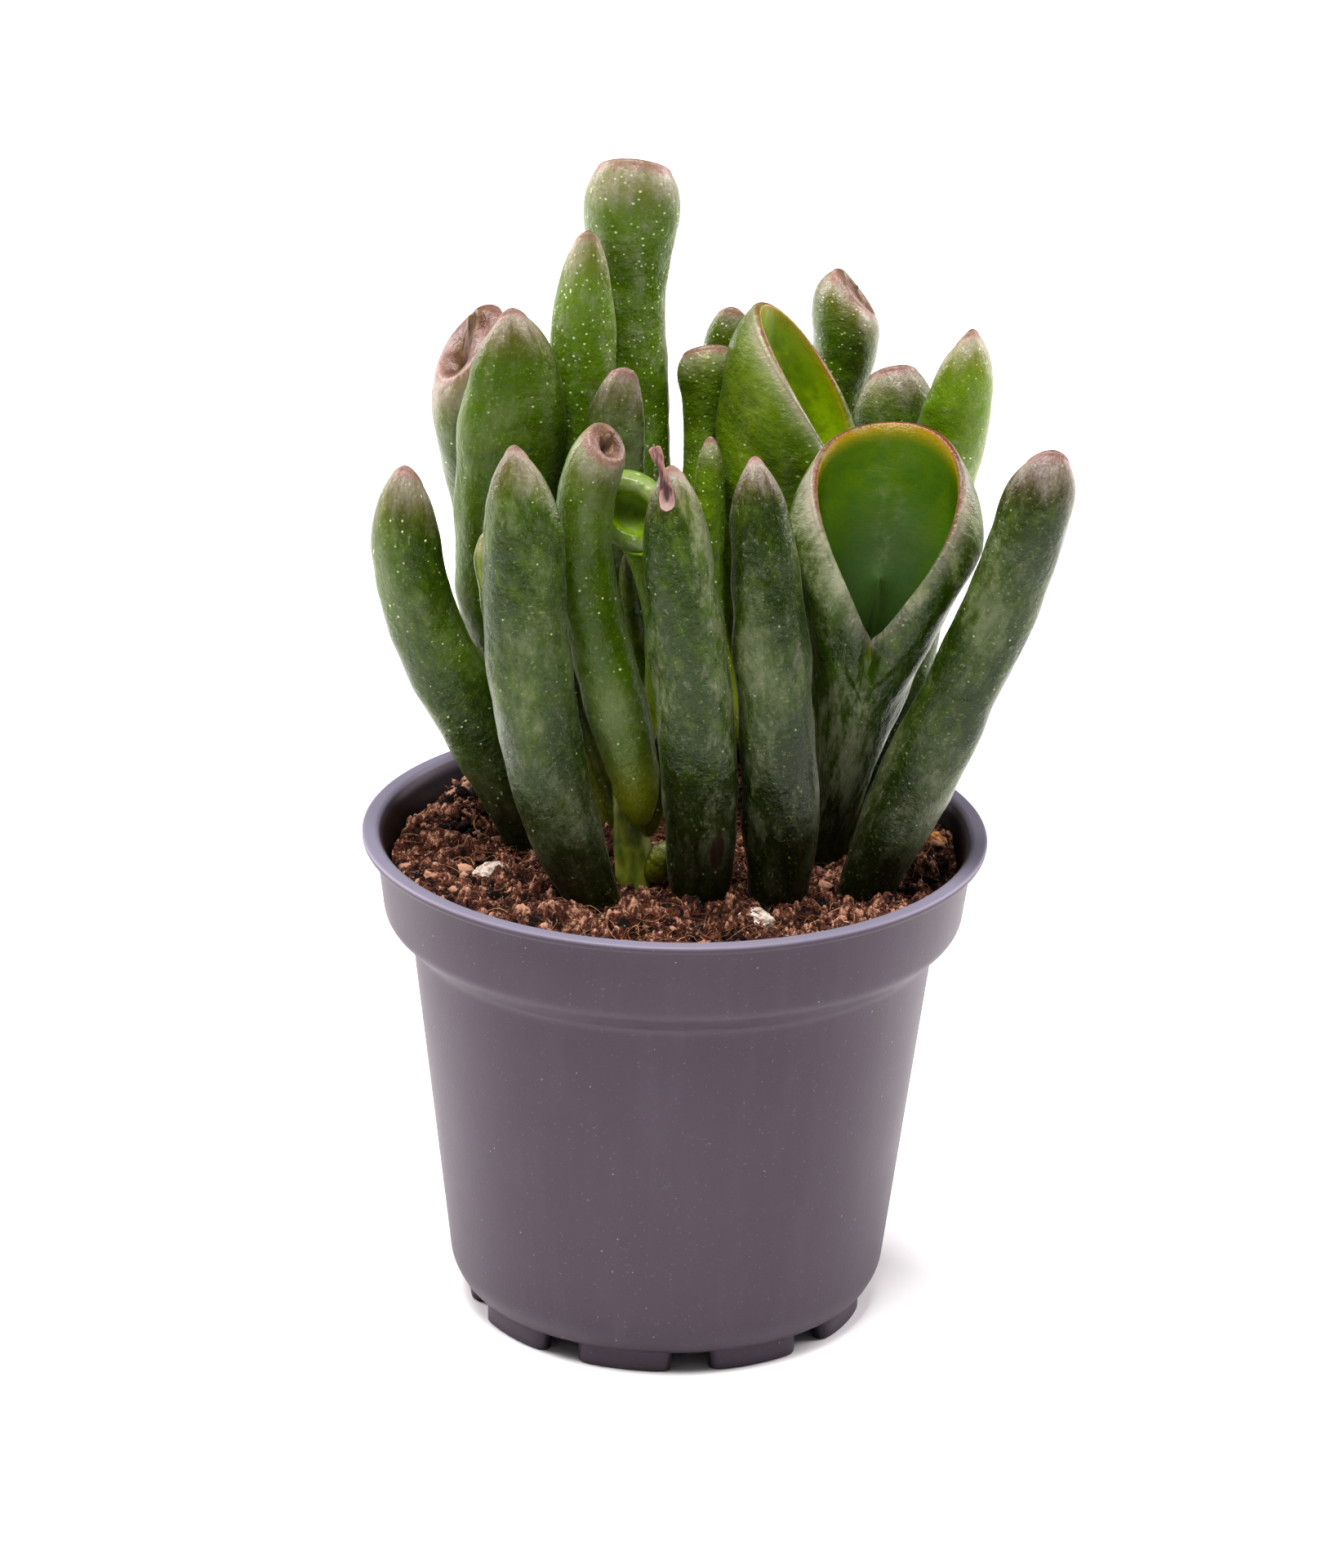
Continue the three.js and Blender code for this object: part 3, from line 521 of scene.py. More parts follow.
def evenly(line, longest):
    """The same profile with points added, so that no step is longer than that."""
    parts = []
    for a, b in zip(line, line[1:]):
        n = max(1, int(np.ceil(np.linalg.norm(b - a) / longest)))
        parts.append(a + (b - a) * (np.arange(n) / n)[:, None])
    return np.concatenate(parts + [line[-1:]])


def turned(line, sides):
    """A closed profile of radius and height turned about the pot's axis."""
    angle = np.arange(sides) / sides * 2 * np.pi
    middle = line[1:-1]
    rings = np.stack([
        middle[:, :1] * np.cos(angle), middle[:, :1] * np.sin(angle), middle[:, 1:] + 0 * angle,
    ], -1)
    poles = [[0, 0, line[0, 1]], [0, 0, line[-1, 1]]]
    return closed_grid(rings, poles)


def pot_shell():
    """The pot's wall, band, lip and floor as one turned profile with small moulded roundings."""
    lip_low = LIP["top"] - LIP["drop"]
    corners = [
        (0, FLOOR_UNDERSIDE, 0),
        (BASE["corner_radius"] - 0.8, FLOOR_UNDERSIDE, 0.5),
        (BASE["corner_radius"], BASE["corner_height"], 0.5),
        (BASE["radius"], BASE["height"], 0.9),
        (STEP["radius"], STEP["height"], 0.7),
        (BAND["foot_radius"], BAND["foot_height"], 0.8),
        (BAND["top_radius"], lip_low, 0.35),
        (LIP["radius"] - 0.1, lip_low, 0.4),
        (LIP["radius"], LIP["top"] - 0.05, 0.42),
        (LIP["inner"], LIP["top"] - 0.02, 0.35),
        (BAND["top_radius"] - WALL, LIP["top"] - 0.9, 0.5),
        (BAND["foot_radius"] - WALL, BAND["foot_height"] + WALL_RISE, 0.8),
        (STEP["radius"] - WALL, STEP["height"] + WALL_RISE, 0.8),
        (BASE["radius"] - WALL, BASE["height"], 0.6),
        (BASE["corner_radius"] - WALL, FLOOR_TOP, 0.5),
        (0, FLOOR_TOP, 0),
    ]
    return turned(evenly(filleted(corners), 1.6), 192)


def pot_feet():
    """Nine low feet: a rounded oblong section carried along an arc and drawn in at both ends."""
    turn = np.linspace(-1, 1, 17)
    corner = np.arange(20) / 20 * 2 * np.pi
    square = lambda v: np.sign(v) * np.abs(v) ** 0.28
    middle, half_r = (FOOT["outer"] + FOOT["inner"]) / 2, (FOOT["outer"] - FOOT["inner"]) / 2
    half_z = FOOT["top"] / 2
    end = np.clip(1 - np.abs(turn) ** 14, 0, 1) ** 0.5
    end[[0, -1]] = 0.55
    r = middle + half_r * square(np.cos(corner)) * end[:, None]
    z = half_z + half_z * square(np.sin(corner)) * (0.9 + 0.1 * end[:, None])
    reach = math.radians(FOOT["span"] / 2)
    feet = []
    for i in range(FOOT["count"]):
        a = math.radians(FOOT["first"] + i * 360 / FOOT["count"]) + turn[:, None] * reach
        feet.append(closed_grid(np.stack([r * np.cos(a), r * np.sin(a), z + 0 * a], -1)))
    return joined(feet)


def cut_drain_holes(piece):
    """Nine round drain holes between the feet, cut through the floor by a difference modifier."""
    turn = np.radians(FOOT["first"] + (np.arange(FOOT["count"]) + 0.5) * 360 / FOOT["count"])
    angle = np.arange(24) / 24 * 2 * np.pi
    heights = np.array([FLOOR_UNDERSIDE - 1.5, FLOOR_TOP + 1.5])
    mesh = bpy.data.meshes.new("drain_cutter")
    drills = []
    for a in turn:
        ring = np.stack([
            DRAIN["ring_radius"] * np.cos(a) + DRAIN["radius"] * np.cos(angle) + 0 * heights[:, None],
            DRAIN["ring_radius"] * np.sin(a) + DRAIN["radius"] * np.sin(angle) + 0 * heights[:, None],
            heights[:, None] + 0 * angle,
        ], -1)
        drills.append(closed_grid(ring))
    points, faces = joined(drills)
    mesh.from_pydata((points * MM + POT_AXIS).tolist(), [], faces)
    cutter = bpy.data.objects.new("drain_cutter", mesh)
    bpy.context.scene.collection.objects.link(cutter)
    cut = piece.modifiers.new("drain_holes", "BOOLEAN")
    cut.operation, cut.solver, cut.object = "DIFFERENCE", "EXACT", cutter
    bpy.context.view_layer.update()
    done = bpy.data.meshes.new_from_object(piece.evaluated_get(bpy.context.evaluated_depsgraph_get()))
    piece.modifiers.clear()
    piece.data = done
    bpy.data.objects.remove(cutter)


# Peat


def inside_radius(z):
    """The pot's inner radius at a height in the band, less the gap."""
    share = (z - BAND["foot_height"]) / (LIP["top"] - BAND["foot_height"])
    return BAND["foot_radius"] + (BAND["top_radius"] - BAND["foot_radius"]) * share - WALL - GAP


PEAT_EDGE = float(inside_radius(PEAT["level"]))


def ground_height(x, y):
    """Height of the peat: a low dome, crossed slow waves, one clump, and a bank against the wall."""
    r = np.hypot(x, y) / PEAT_EDGE
    short = np.sin(0.62 * x + 0.9) * np.cos(0.55 * y - 0.4)
    uneven = short + 0.6 * np.sin(0.33 * x - 0.47 * y)
    away = ((x - CLUMP["x"]) ** 2 + (y - CLUMP["y"]) ** 2) / CLUMP["spread"] ** 2
    bank = BANK["height"] * np.exp(-((x - BANK["x"]) ** 2 + (y - BANK["y"]) ** 2) / BANK["spread"] ** 2)
    dome = PEAT["level"] + PEAT["dome"] * (1 - r**2)
    return bank + dome + PEAT["bump"] * uneven + CLUMP["height"] * np.exp(-away)


def lattice_cells(x, y, size, seed):
    """For each place in plan: how far the nearest point of a shaken square lattice is, in steps of its
    spacing, how much further the second nearest is, and the nearest one's own number from 0 to 1."""
    pick = np.random.default_rng(seed)
    count = int(70 / size) + 6
    shake, own = pick.uniform(0, 1, (2, count, count)), pick.uniform(0, 1, (count, count))
    u, v = x / size + count / 2, y / size + count / 2
    i, j = np.floor(u).astype(int), np.floor(v).astype(int)
    nearest, second, number = np.full(x.shape, 9.0), np.full(x.shape, 9.0), 0 * x
    for a, b in ((i + di, j + dj) for di in (-1, 0, 1) for dj in (-1, 0, 1)):
        far = np.hypot(a + shake[0, a, b] - u, b + shake[1, a, b] - v)
        second = np.minimum(second, np.maximum(nearest, far))
        number = np.where(far < nearest, own[a, b], number)
        nearest = np.minimum(nearest, far)
    return nearest, second - nearest, number


def peat_body(count=300):
    """A square grid drawn out to a disc and raised to the ground's height. Lumps of four sizes stand on
    it: each is a cell of a shaken lattice, domed as one minus distance squared, with a crack round it.
    The edge is then carried down inside the pot's wall and closed underneath."""
    a, b = np.meshgrid(np.linspace(-1, 1, count), np.linspace(-1, 1, count), indexing="ij")
    x = a * np.sqrt(1 - b**2 / 2) * PEAT_EDGE
    y = b * np.sqrt(1 - a**2 / 2) * PEAT_EDGE
    flat = np.stack([x, y], -1)
    z = ground_height(x, y) - 0.35 + 0.25 * waves(flat, 5, 3)
    tone = 0 * x
    for size, tall, share in LUMPS:
        bent_x = x + 0.35 * size * waves(flat, 1.7 * size, 11)
        bent_y = y + 0.35 * size * waves(flat, 1.7 * size, 12)
        nearest, crack, number = lattice_cells(bent_x, bent_y, size, int(size * 100))
        dome = np.clip(1 - nearest**2, 0, 1) * np.clip(crack / 0.35, 0, 1) ** 0.5
        z += size * tall * (0.25 + 1.1 * number**1.5) * dome
        # painted shade: the tone is lowered near the crack round each lump
        tone += share * (number - 0.35 * np.clip(1 - crack / 0.25, 0, 1))
    edge = np.clip((PEAT_EDGE - np.hypot(x, y)) / 0.8, 0, 1)
    z = z - 0.5 * (1 - edge)
    top = np.stack([x, y, z], -1)

    index = np.arange(count * count).reshape(count, count)
    quads = np.stack([index[:-1, :-1], index[1:, :-1], index[1:, 1:], index[:-1, 1:]], -1).reshape(-1, 4)
    border = np.concatenate([index[:-1, 0], index[-1, :-1], index[:0:-1, -1], index[0, :0:-1]])
    rim = top.reshape(-1, 3)[border]
    rim_xy = rim[:, :2] / np.linalg.norm(rim[:, :2], axis=1, keepdims=True)
    profile = [
        (inside_radius(42.5), 42.5),
        (BAND["foot_radius"] - WALL - GAP, BAND["foot_height"] + WALL_RISE + GAP),
        (STEP["radius"] - WALL - GAP, STEP["height"] + WALL_RISE + GAP),
        (BASE["radius"] - WALL - GAP, BASE["height"] + GAP),
        (BASE["corner_radius"] - WALL - 1.2, FLOOR_TOP + GAP),
    ]
    rows = [np.column_stack([rim_xy * r, np.full(len(rim), h)]) for r, h in profile]
    points = np.concatenate([top.reshape(-1, 3), *rows, [[0, 0, FLOOR_TOP + GAP]]])
    i = np.arange(len(border))
    j = (i + 1) % len(border)
    loops = [border] + [count * count + k * len(border) + i for k in range(len(rows))]
    faces = quads.tolist()
    for upper, lower in zip(loops, loops[1:]):
        faces += np.stack([upper[i], lower[i], lower[j], upper[j]], -1).tolist()
    faces += np.stack([loops[-1][j], loops[-1][i], 0 * i + len(points) - 1], -1).tolist()
    tones = np.concatenate([tone.ravel(), np.full(len(points) - tone.size, 0.3)])
    return points, faces, tones


def unit_ball(level=0):
    """Points and faces of a ball, radius 1: even triangles at that level, or at 0 only 42. Faces are
    sorted, since bmesh gives them in another order each run."""
    made = bmesh.new()
    if level:
        bmesh.ops.create_icosphere(made, subdivisions=level, radius=1.0)
    else:
        bmesh.ops.create_uvsphere(made, u_segments=7, v_segments=4, radius=1.0)
        bmesh.ops.triangulate(made, faces=made.faces)
    points = np.array([v.co for v in made.verts])
    faces = [[v.index for v in f.verts] for f in made.faces]
    made.free()
    starts = [face.index(min(face)) for face in faces]
    return points, sorted(face[k:] + face[:k] for face, k in zip(faces, starts))


def free_ground(count, margin=0.7):
    """Seeded places on the peat, in plan, clear of the pot's wall."""
    r = (PEAT_EDGE - margin) * np.sqrt(draw.uniform(0, 1, count))
    turn = draw.uniform(0, 2 * np.pi, count)
    return r * np.cos(turn), r * np.sin(turn)


def crumbs(count, small, large, lift=0.35):
    """Loose bits: a coarse ball for each, stretched, turned and pulled uneven at random, on the ground.
    Some lie near the clump."""
    ball, faces = unit_ball()
    x, y = free_ground(count)
    near = draw.uniform(size=count) < 0.22
    x[near] = CLUMP["x"] + draw.normal(0, CLUMP["spread"] * 0.62, near.sum())
    y[near] = CLUMP["y"] + draw.normal(0, CLUMP["spread"] * 0.62, near.sum())
    far = np.hypot(x, y) > PEAT_EDGE - 0.8
    x[far] *= 0.9
    y[far] *= 0.9
    size = small + (large - small) * draw.uniform(0, 1, count) ** 3
    bits = np.repeat(ball[None], count, axis=0)
    for step in range(8):
        way = draw.normal(size=(count, 3)) * (1.2 + 0.4 * step)
        pull = 0.17 * np.cos((bits * way[:, None]).sum(-1) + draw.uniform(0, 6.3, (count, 1)))
        bits = bits * (1 + pull[..., None])
    stretch = np.stack([draw.uniform(*ends, count) for ends in ((0.6, 1.4), (0.5, 1.1), (0.45, 1))], -1)
    bits = bits * stretch[:, None] * size[:, None, None]
    turn, tilt = draw.uniform(0, 6.3, (2, count, 1))
    bx, by, bz = bits[..., 0], bits[..., 1], bits[..., 2]
    by, bz = by * np.cos(tilt) - bz * np.sin(tilt), by * np.sin(tilt) + bz * np.cos(tilt)
    bx, by = bx * np.cos(turn) - by * np.sin(turn), bx * np.sin(turn) + by * np.cos(turn)
    z = ground_height(x, y) + lift * size + 0.25
    bits = np.stack([bx + x[:, None], by + y[:, None], bz + z[:, None]], -1)
    tone = np.repeat(draw.uniform(0, 1, count), len(ball))
    return (*many(bits, faces), tone)


def fibres(count, longest, thick, sides=3, steps=9):
    """Peat fibres: thin tubes along arcs of seeded length, bend and heading, lying on the ground."""
    x, y = free_ground(count, 2.2)
    long = longest * (0.25 + 0.75 * draw.uniform(0, 1, count) ** 2)
    heading = draw.uniform(0, 2 * np.pi, count)
    bend = draw.normal(0, 3.0, count)
    t = np.linspace(-0.5, 0.5, steps)
    way = heading[:, None] + bend[:, None] * t
    step = long[:, None] / (steps - 1)
    px = x[:, None] + np.cumsum(np.cos(way) * step, 1)
    py = y[:, None] + np.cumsum(np.sin(way) * step, 1)
    reach = np.hypot(px, py)
    keep = np.minimum(1, (PEAT_EDGE - 0.6) / reach)
    px, py = px * keep, py * keep
    loft = draw.uniform(0.1, 0.9, (count, 1)) * np.cos(np.pi * t) ** 2
    pz = ground_height(px, py) + 0.45 + loft + 0.15 * np.sin(9 * t + heading[:, None])
    line = np.stack([px, py, pz], -1)
    along = np.gradient(line, axis=1)
    along /= np.linalg.norm(along, axis=-1, keepdims=True)
    side = np.cross(along, [0, 0, 1.0])
    side /= np.linalg.norm(side, axis=-1, keepdims=True) + 1e-9
    up = np.cross(side, along)
    angle = np.arange(sides) / sides * 2 * np.pi
    radius = thick * draw.uniform(0.5, 1.3, (count, 1)) * (1 - (2 * t) ** 6 * 0.6)
    rings = line[:, :, None] + radius[..., None, None] * (
        side[:, :, None] * np.cos(angle)[:, None] - up[:, :, None] * np.sin(angle)[:, None]
    )
    points, faces = joined([closed_grid(r) for r in rings])
    tone = np.repeat(draw.uniform(0, 1, count), len(points) // count)
    return points, faces, tone


def grain_surface(at, radius, stretch, seed, level=5):
    """A grain: a ball pulled by slow waves, pitted by fine ones, stretched in plan and a little flat."""
    ball, faces = unit_ball(level)
    first = 1 + 0.16 * np.sin(3.1 * ball[:, 0] + seed) * np.cos(2.7 * ball[:, 1] - 2 * seed)
    pits = np.clip(waves(ball, 0.55, seed + 20), -1, 0.4) * 0.06 + waves(ball, 0.22, seed + 30) * 0.018
    points = ball * ((first + pits) * radius)[:, None] * [stretch, 1, 0.8] + at
    return points, faces


# Materials


def linear(text):
    """An sRGB hex colour as linear red, green, blue and 1."""
    value = np.array([int(text[i : i + 2], 16) for i in (1, 3, 5)]) / 255
    value = np.where(value <= 0.04045, value / 12.92, ((value + 0.055) / 1.055) ** 2.4)
    return (*value.tolist(), 1.0)


def give(made, inputs):
    """Gives a node's inputs, by number or name, a value, an sRGB colour or a link."""
    for key, value in inputs.items() if isinstance(inputs, dict) else enumerate(inputs):
        if isinstance(value, bpy.types.NodeSocket):
            made.id_data.links.new(value, made.inputs[key])
        else:
            made.inputs[key].default_value = linear(value) if isinstance(value, str) else value


def node(tree, kind, inputs=(), out=0, **settings):
    """Adds a node with its settings, gives its inputs and returns one output."""
    made = tree.nodes.new("ShaderNode" + kind)
    for key, value in settings.items():
        setattr(made, key, value)
    give(made, inputs)
    return made.outputs[out]


def new_material(name):
    """An empty material, its Principled shader, and the function that adds a node to it."""
    material = bpy.data.materials.new(name)
    material.use_nodes = True
    return material, material.node_tree.nodes["Principled BSDF"], partial(node, material.node_tree)


def millimetres(add):
    """The piece's own coordinates in mm."""
    return add("VectorMath", {0: add("TexCoord", out="Object"), "Scale": 1 / MM}, operation="SCALE")


# settings that many nodes share; a colour Mix has its factor at 0 and its colours at 6 and 7
SMOOTH = {"interpolation_type": "SMOOTHSTEP"}
COLOURS = {"out": 2, "data_type": "RGBA"}
TIMES = {"operation": "MULTIPLY"}
TIMES_ADD = {"operation": "MULTIPLY_ADD"}
MINUS = {"operation": "SUBTRACT"}


def share_of(add, *parts):
    """The product of shares. A part is a socket, a number or a smooth ramp: value, from, to, low, high."""
    made = [add("MapRange", part, **SMOOTH) if isinstance(part, tuple) else part for part in parts]
    return reduce(lambda a, b: add("Math", [a, b], **TIMES), made)


def layered(add, colour, layers):
    """A colour under tints, each laid over it in turn by the product of the shares that follow it."""
    for tint, *parts in layers:
        colour = add("Mix", {0: share_of(add, *parts), 6: colour, 7: tint}, **COLOURS)
    return colour


def leaf_material(name, deep, mid, bright, inside, foot):
    """Living leaf flesh under thin wax: green that varies along the leaf, brightened by painted light on
    some leaves and darkened by painted shade towards the foot, a grey bloom rubbed off in patches, white
    water pores, a warm tip with pale streaks and a thin red edge round the mouth. Inside a large mouth the
    bottom is darkened by painted shade and the lip is paled by a painted highlight. All patterns are in
    millimetres on the leaf's own straightened skin."""
    material, shader, add = new_material(name)
    skin, place, habit = (add("Attribute", out="Vector", attribute_name=k) for k in LEAF_VECTORS)
    mark, warm, young_less_painted_shade, painted_light = (add("Attribute", out="Fac", attribute_name=k) for k in LEAF_VALUES)
    from_foot, to_mouth, depth = (add("SeparateXYZ", [place], out=k) for k in range(3))
    blush, bloom, dots = (add("SeparateXYZ", [habit], out=k) for k in range(3))
    outside = share_of(add, (depth, 0.42, 0.2))

    # Noises. Each has its scale along the leaf over that round it, its scale per mm, detail and roughness:
    # clouds of about 6 mm, streaks 1 mm wide, wax patches of 1 mm, tongues of 3 mm at the tip, powder of
    # 0.3 mm, ragged edges of marks, and dents of 1.5 mm.
    broad, streak, patch, finger, grain, ragged, dents = (
        add("TexNoise", {
            "Vector": add("Mapping", {"Vector": skin, "Scale": (1, 1, drawn_out)}),
            "Scale": scale, "Detail": detail, "Roughness": roughness,
        })
        for drawn_out, scale, detail, roughness in (
            (0.45, 0.16, 1.0, 0.5), (0.6, 0.7, 6.0, 0.7), (0.5, 0.7, 9.0, 0.74), (0.35, 0.34, 4.0, 0.6),
            (1, 3.0, 2.0, 0.7), (1, 1.6, 3.0, 0.5), (1, 0.7, 4.0, 0.6),
        )
    )

    # greens in clouds and streaks, brighter where painted light is laid on, darkened low on the leaf by
    # painted shade that young leaves are partly spared, yellow-green at a young leaf's foot
    young_foot = add("Math", [young_less_painted_shade, -8.0, from_foot], **TIMES_ADD)
    green = layered(add, deep, [
        (mid, (broad, 0.36, 0.64)),
        # painted light: a brighter yellow-green over the leaf, as much as its share says
        ("#5a7804", painted_light, add("MapRange", [broad, 0.3, 0.7, 0.6, 1.0])),
        (bright, (streak, 0.46, 0.72, 0, 0.4)),
        # painted shade: the leaf darkens towards its foot, less on the leaves marked young
        (foot, (from_foot, 26.0, 5.0, 0, 0.8), add("MapRange", [young_less_painted_shade, 0, 1, 1, 0])),
        ("#6c7010", (young_foot, 4.0, -4.0, 0, 0.7)),
    ])

    # inside the mouth: orange at the edge, then yellow-green, clear green in blotches and a bottom
    # darkened by painted shade; a nearly closed mouth is pink-brown
    pink = add("Mix", {0: add("MapRange", [streak, 0.4, 0.65]), 6: "#402a24", 7: "#785a4e"}, **COLOURS)
    hollow = layered(add, "#86720a", [
        (inside, (depth, 0.48, 0.57)),
        # painted light: a brighter yellow-green inside the mouth
        ("#7c9a0c", painted_light, 0.8),
        ("#234603", (streak, 0.42, 0.62, 0, 0.45), (depth, 0.52, 0.62)),
        # painted shade: the bottom of the bowl darkens with depth, less on young leaves
        ("#173002", (depth, 0.66, 0.95, 0, 0.75), add("MapRange", [young_less_painted_shade, 0, 1, 1, 0.4])),
        (pink, warm, 0.9),
    ])

    # grey wax, in patches drawn out along the leaf and worn through between them
    patch = add("Math", [broad, 0.6, patch], **TIMES_ADD)
    wax = share_of(add, (patch, 0.74, 1.02, 0, 0.6), bloom, (from_foot, 2.0, 12.0))

    # water pores: white dots 0.2 mm wide, nearly one in each square mm where they are dense
    pores = {"Vector": skin, "Scale": 1.6}
    pore, chosen = (add("TexVoronoi", pores, out=out) for out in ("Distance", "Color"))
    chosen = add("MapRange", [add("Math", [add("SeparateColor", [chosen]), dots]), 0.98, 1.15])

    # the tip's pale patches reach 2 or 3 mm down, with green tongues between them
    reach = add("Math", [add("Math", [finger, 15.0, -5.6], **TIMES_ADD), blush], **TIMES)
    reach = add("Math", [reach, to_mouth], **MINUS)

    # a large mouth's lip is paled by a painted highlight along its curved edge, a nearly closed mouth's
    # lip is pink, and two thin lines run round on it, orange inside red-brown
    rim = share_of(add, add("MapRange", [finger, 0.35, 0.6, 0.45, 1.0]), add("MapRange", [blush, 0, 0.15]))
    # painted highlight: pale grey-beige on a large mouth's lip; pink on a nearly closed one is its colour
    edge = add("Mix", {0: warm, 6: "#968a7c", 7: "#7e4a4a"}, **COLOURS)
    lines = []
    for middle, half, most, tint in ((0.44, 0.09, 0.6, "#8a5a14"), (0.30, 0.13, 0.95, "#642619")):
        off = add("Math", [add("Math", [depth, middle], **MINUS)], operation="ABSOLUTE")
        lines.append((tint, (off, half, half * 0.4, 0, most), rim, add("MapRange", [warm, 0, 1, 1, 0.3])))

    # over the green: the hollow, wax, powdery specks, pores, the tip's brown flush and pale patches, the
    # lip with its painted highlight on a large mouth, and brown marks with ragged edges
    brown = add("Math", [ragged, 0.5, mark], **TIMES_ADD)
    colour = layered(add, green, [
        (hollow, (depth, 0.42, 0.5)),
        ("#8b8d76", wax),
        ("#b9c08c", (grain, 0.58, 0.76, 0, 0.22), outside),
        ("#ccd8ae", (pore, 0.22, 0.13), outside, chosen, 0.75),
        ("#6e4036", (to_mouth, 6.0, 0.3, 0, 0.4), blush, outside),
        ("#b7aca8", (reach, -2.4, 2.6, 0, 0.5), outside, add("MapRange", [grain, 0.3, 0.6, 0.45, 1.0])),
        (edge, (to_mouth, 0.8, 0.05, 0, 0.6), rim, (depth, 0.3, 0.16)),
        (pink, (depth, 0.05, 0.25, 0, 0.8), warm, (depth, 0.55, 0.45)),
        *lines,
        ("#2c120c", (brown, 0.62, 0.95, 0, 0.85)),
    ])

    rough = add("Math", [wax, 0.3, add("MapRange", [streak, 0.3, 0.7, 0.24, 0.34])], **TIMES_ADD)
    rough = add("Math", [rough, add("MapRange", [depth, 0.7, 0.95, 0, 0.45])])
    height = add("Math", [grain, 0.25, add("Math", [streak, 0.4, dents], **TIMES_ADD)], **TIMES_ADD)
    strength = add("MapRange", [depth, 0.45, 0.55, 0.6, 0.15])
    give(shader, {
        "Base Color": colour, "Roughness": rough, "IOR": 1.42, "Specular IOR Level": 0.38,
        "Normal": add("Bump", {"Height": height, "Strength": strength, "Distance": 0.0004}),
        "Sheen Weight": 0.05, "Sheen Roughness": 0.2, "Subsurface Weight": 0.12,
        "Subsurface Radius": (0.5, 1.0, 0.15), "Subsurface Scale": 0.0012,
    })
    return material


def stem_material():
    """Young jade stem: smooth yellow-green bark with brown leaf scars every few millimetres."""
    material, shader, add = new_material("jade_stem_bark")
    where = millimetres(add)
    along = add("Mapping", {"Vector": where, "Scale": (1, 1, 0.5)})
    mottle = add("TexNoise", {"Vector": along, "Scale": 0.9, "Detail": 4.0})
    across = add("Mapping", {"Vector": where, "Scale": (0.15, 0.15, 1)})
    scars = add("TexNoise", {"Vector": across, "Scale": 0.55, "Detail": 3.0})
    colour = layered(add, "#4f6210", [
        ("#8a9232", (mottle, 0.3, 0.7)), ("#5a4020", (scars, 0.58, 0.70, 0, 0.7)),
    ])
    give(shader, {
        "Base Color": colour, "Roughness": 0.5, "Subsurface Weight": 0.15,
        "Normal": add("Bump", {"Height": mottle, "Strength": 0.5, "Distance": 0.0002}),
        "Subsurface Radius": (0.8, 1.0, 0.3), "Subsurface Scale": 0.001,
    })
    return material


def dried_material():
    """Withered leaf skin: pink-brown, wrinkled along its length in folds of 0.4 mm, pale round the scar
    that it hangs from, with its slit darkened by painted shade as deep as the groove goes."""
    material, shader, add = new_material("withered_skin")
    where = millimetres(add)
    along = add("Mapping", {"Vector": where, "Scale": (1, 1, 0.25)})
    ribs = add("TexNoise", {"Vector": along, "Scale": 2.4, "Detail": 4.0})
    high = add("SeparateXYZ", [where], out=2)
    slit = add("Attribute", out="Fac", attribute_name="slit")
    colour = layered(add, "#3c201f", [
        ("#8c645c", (ribs, 0.35, 0.65)),
        ("#c4aaa0", (high, DRIED_END[1][2], DRIED_END[0][2], 0, 0.9)),
        # painted shade: darker down the slit's groove, as deep as it goes
        ("#2c1214", (slit, 0.25, 0.7, 0, 0.9)),
    ])
    wrinkles = add("Bump", {"Height": ribs, "Strength": 0.9, "Distance": 0.0003})
    give(shader, {"Base Color": colour, "Roughness": 0.6, "Normal": wrinkles})
    return material


